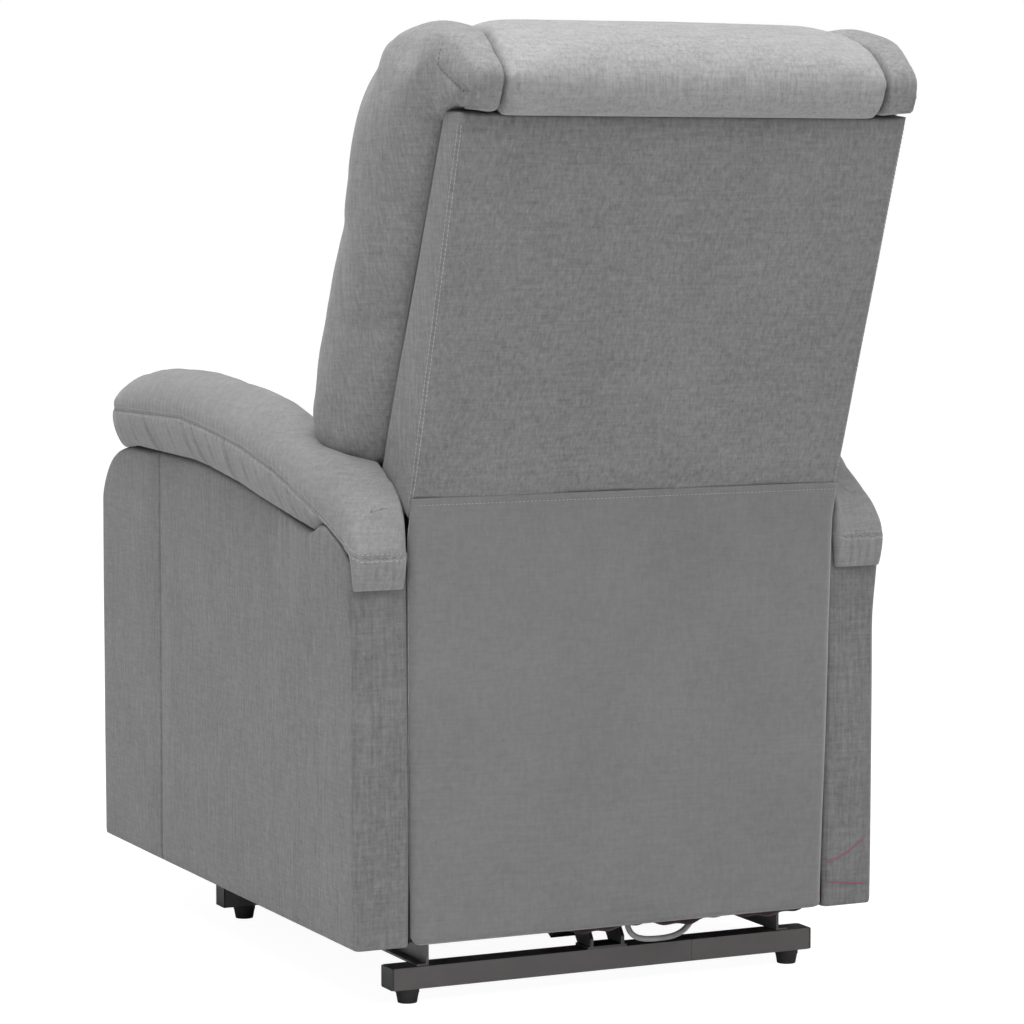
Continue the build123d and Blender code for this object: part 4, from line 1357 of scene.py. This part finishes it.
seat = pillow("seat_cushion_cloth", round_poly(SEAT), (-SEAT_HALF, SEAT_HALF), WEAVE_LIGHT,
              voxels=(9.0, 16), hold_at=seat_hold, pressure=3.2, cap=10, rounds=8,
              warp=seat_warp)
tag(seat, "chassis", "seat_cushion")
footrest = pillow("footrest_pad_cloth", FOOTREST, (-FOOTREST_HALF, FOOTREST_HALF),
                  WEAVE_LIGHT, voxels=(7.0, 12), hold_at=footrest_hold, pressure=4.0, cap=8,
                  rounds=5)
tag(footrest, "footrest", "footrest_pad")


# ======================================================================
# side pocket on the outside of the right arm
# ======================================================================
def side_pocket():
    y0, y1, z0, z1 = -258.0, -96.0, 296.0, 452.0
    n = 34
    dip = 4                 # sag of the mouth
    outer, inner = [], []
    for j in range(n):
        v = j / (n - 1)
        for i in range(n):
            u = i / (n - 1)
            full = (math.sin(math.pi * u) ** 0.45
                    * math.sin(math.pi * min(1, v * 0.62 + 0.02)) ** 0.5)
            bulge = 14.0 * full
            y = y0 + (y1 - y0) * u
            z = z0 + (z1 - z0) * v - dip * math.sin(math.pi * u) * v
            wrinkle = 0.8 * math.sin(y / 9.0 + 2 * math.sin(z / 31.0)) * full
            outer.append((-(316.4 + bulge + wrinkle), y, z))
            inner.append((-(314.6 + max(0, bulge - 2.2) + wrinkle), y, z))
    ob = make("side_pocket_cloth", outer + inner, flipped(sheet_faces(n, n)), WEAVE_SIDE,
              merge=0.01, subdiv=1, slot="weave_grey", body="chassis")
    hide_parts("side_pocket")
    edge = [(-318, y0 + 4, z) for z in np.linspace(z1 - 6, z0 + 4, 30)]
    edge += [(-318, y, z0 + 4) for y in np.linspace(y0 + 4, y1 - 4, 30)]
    edge += [(-318, y1 - 4, z) for z in np.linspace(z0 + 4, z1 - 6, 30)]
    mouth = [(-332, y, z1 - 9 - dip * math.sin(math.pi * (y - y0) / (y1 - y0)))
             for y in np.linspace(y0 + 6, y1 - 6, 40)]
    stitches("side_pocket_stitch", [edge, mouth], ob, THREAD, "chassis", pitch=5.4,
             length=3.8, slot="weave_grey")


side_pocket()


# ======================================================================
# small sewn details
# ======================================================================
def arm_tucks():
    """Rose threads at the foot of the right arm cover's rear end."""
    tree = surface_tree(cover_right)
    tucks = [[(-256, 312, 120), (-282, 312, 131), (-306, 312, 148)],
             [(-256, 312, 99), (-282, 312, 96), (-306, 312, 94)]]
    for i, tuck in enumerate(tucks):
        line = [nearest(tree, p, lift=0.15)[0] for p in densify(tuck, 6)]
        cord("arm_tuck_thread_%d" % i, line, 0.75, THREAD_ROSE, "chassis", "weave_grey",
             sides=6)


def flap_lining_edge_in_painted_shade():
    """Uneven strip of lining that shows below the flap, near-black as painted shade under the
    flap.
    """
    xs = np.linspace(-232, 60, 90)
    levels = (84, 76, 69, 66)
    outer = []
    for k, z in enumerate(levels):
        for x in xs:
            ragged = (2.5 * math.sin(x / 17) + 1.4 * math.sin(x / 5.3)) * (k / 3)
            outer.append((x, 303 - 2.5 * k + 1.8 * math.sin(x / 11 + k), z - ragged))
    inner = [(x, y - 1.4, z) for x, y, z in outer]
    faces = flipped(sheet_faces(len(xs), len(levels), close_sides=False))
    # lining tint darkened as painted shade under the flap
    make("flap_lining_edge_in_painted_shade", outer + inner, faces, MAROON_PAINTED_SHADE, slot="strip_black", body="chassis")


arm_tucks()
flap_lining_edge_in_painted_shade()

# ======================================================================
# finishes on the CAD nodes; those not listed are black steel
# ======================================================================
FINISHES = [
    (STEEL_GREY, ("rear_crossbar_long", "rear_crossbar_short", "front_crossbar",
                  "side_rail_left", "side_rail_right")),
    (STEEL_ZINC, ("seat_springs", "crossbar_joint_sleeve", "chassis_pivot_pins")),
    (BLACK_PLASTIC, ("tube_end_caps", "motor_housing", "actuator_tube", "power_supply",
                     "handset_body")),
    (RUBBER, ("glide_feet",)),
    (CABLE, ("cables",)),
    (CHROME, ("actuator_rod",)),
    (GREY_PLASTIC, ("handset_button_up", "handset_button_down")),
    (PLYWOOD, ("arm_frame_left", "arm_frame_right", "footrest_board"))]
FINISH_OF = {name: material for material, names in FINISHES for name in names}
for name, ob in CAD_NODES.items():
    material = FINISH_OF.get(name, STEEL_BLACK)
    for material_slot in ob.material_slots:
        material_slot.link = "OBJECT"
        material_slot.material = material
    if not ob.material_slots:
        ob.data.materials.append(material)


# ======================================================================
# floor, light, camera (metres)
# ======================================================================
def floor_material():
    """Matt white for the light, an even near-white glow to the camera."""
    t = Shader("paper_white")
    white = (0.93, 0.93, 0.93)
    mottle = t.noise(t.coords(), scale=3, detail=2, rough=0.5)
    t.set({"Base Color": t.mix(mottle, tuple(c * 0.995 for c in white), white),
           "Roughness": 0.9, "Specular IOR Level": 0.0})
    light_path = t.node("ShaderNodeLightPath")
    glow = t.node("ShaderNodeEmission")
    add = t.node("ShaderNodeAddShader")
    choose = t.node("ShaderNodeMixShader")
    diffuse = t.node("ShaderNodeBsdfDiffuse")
    glow.inputs["Color"].default_value = (1, 1, 1, 1)
    glow.inputs["Strength"].default_value = 0.955
    diffuse.inputs["Color"].default_value = (0.2, 0.2, 0.2, 1)
    t.link(glow.outputs[0], add.inputs[0])
    t.link(diffuse.outputs[0], add.inputs[1])
    t.link(light_path.outputs["Is Camera Ray"], choose.inputs[0])
    t.link(t.surface.outputs[0], choose.inputs[1])
    t.link(add.outputs[0], choose.inputs[2])
    t.link(choose.outputs[0], t.output.inputs[0])
    return t.material


def studio_floor():
    half = 30000            # mm
    corners = [(-half, -half, 0), (half, -half, 0), (half, half, 0), (-half, half, 0)]
    make("studio_floor", corners, [(0, 1, 2, 3)], floor_material())


def area_light(name, location, target, size, power):
    light = bpy.data.lights.new(name, "AREA")
    light.shape = "RECTANGLE"
    light.size, light.size_y = size
    light.energy = power
    ob = add_object(name, light)
    ob.location = location
    direction = Vector(target) - Vector(location)
    ob.rotation_euler = direction.to_track_quat("-Z", "Y").to_euler()


def studio_world():
    """Dim white light on the scene, full white to the camera."""
    world = bpy.data.worlds.new("studio")
    SCENE.world = world
    world.use_nodes = True
    nodes, links = world.node_tree.nodes, world.node_tree.links
    ambient = nodes["Background"]
    ambient.inputs["Color"].default_value = (1, 1, 1, 1)
    ambient.inputs["Strength"].default_value = 0.335
    seen = nodes.new("ShaderNodeBackground")
    light_path = nodes.new("ShaderNodeLightPath")
    choose = nodes.new("ShaderNodeMixShader")
    seen.inputs["Color"].default_value = (1, 1, 1, 1)
    seen.inputs["Strength"].default_value = 1.0
    links.new(light_path.outputs["Is Camera Ray"], choose.inputs[0])
    links.new(ambient.outputs[0], choose.inputs[1])
    links.new(seen.outputs[0], choose.inputs[2])
    links.new(choose.outputs[0], nodes["World Output"].inputs[0])


def studio_camera():
    """Long lens from behind the chair's left side, looking slightly down."""
    camera = bpy.data.cameras.new("camera")
    camera.lens = 127.79296875      # mm
    camera.sensor_width = 36        # mm
    camera.clip_start, camera.clip_end = 0.1, 60
    # shares of the frame width
    camera.shift_x = camera.shift_y = 0.0009765625
    ob = add_object("camera", camera)
    yaw, pitch = math.radians(25.50), math.radians(5.09)
    forward = Vector((-math.sin(yaw) * math.cos(pitch), -math.cos(yaw) * math.cos(pitch),
                      -math.sin(pitch)))
    ob.location = (1.789, 3.779, 0.870)
    ob.rotation_euler = forward.to_track_quat("-Z", "Y").to_euler()
    SCENE.camera = ob


studio_floor()
area_light("key_top", location=(0.7, 1.0, 3.7), target=(0, 0.1, 0.5), size=(3.0, 3.0),
           power=196)
area_light("fill_left", location=(4.2, 1.6, 1.8), target=(0, 0.0, 0.5), size=(2.6, 2.6),
           power=4)
area_light("fill_rear", location=(-1.4, 3.3, 3.2), target=(0, 0.3, 0.8), size=(2.6, 2.0),
           power=40)
area_light("fill_front", location=(-1.2, -4.4, 2.3), target=(0, 0, 0.6), size=(3.2, 2.4),
           power=30)
studio_world()
SCENE.view_settings.view_transform = "Standard"
studio_camera()
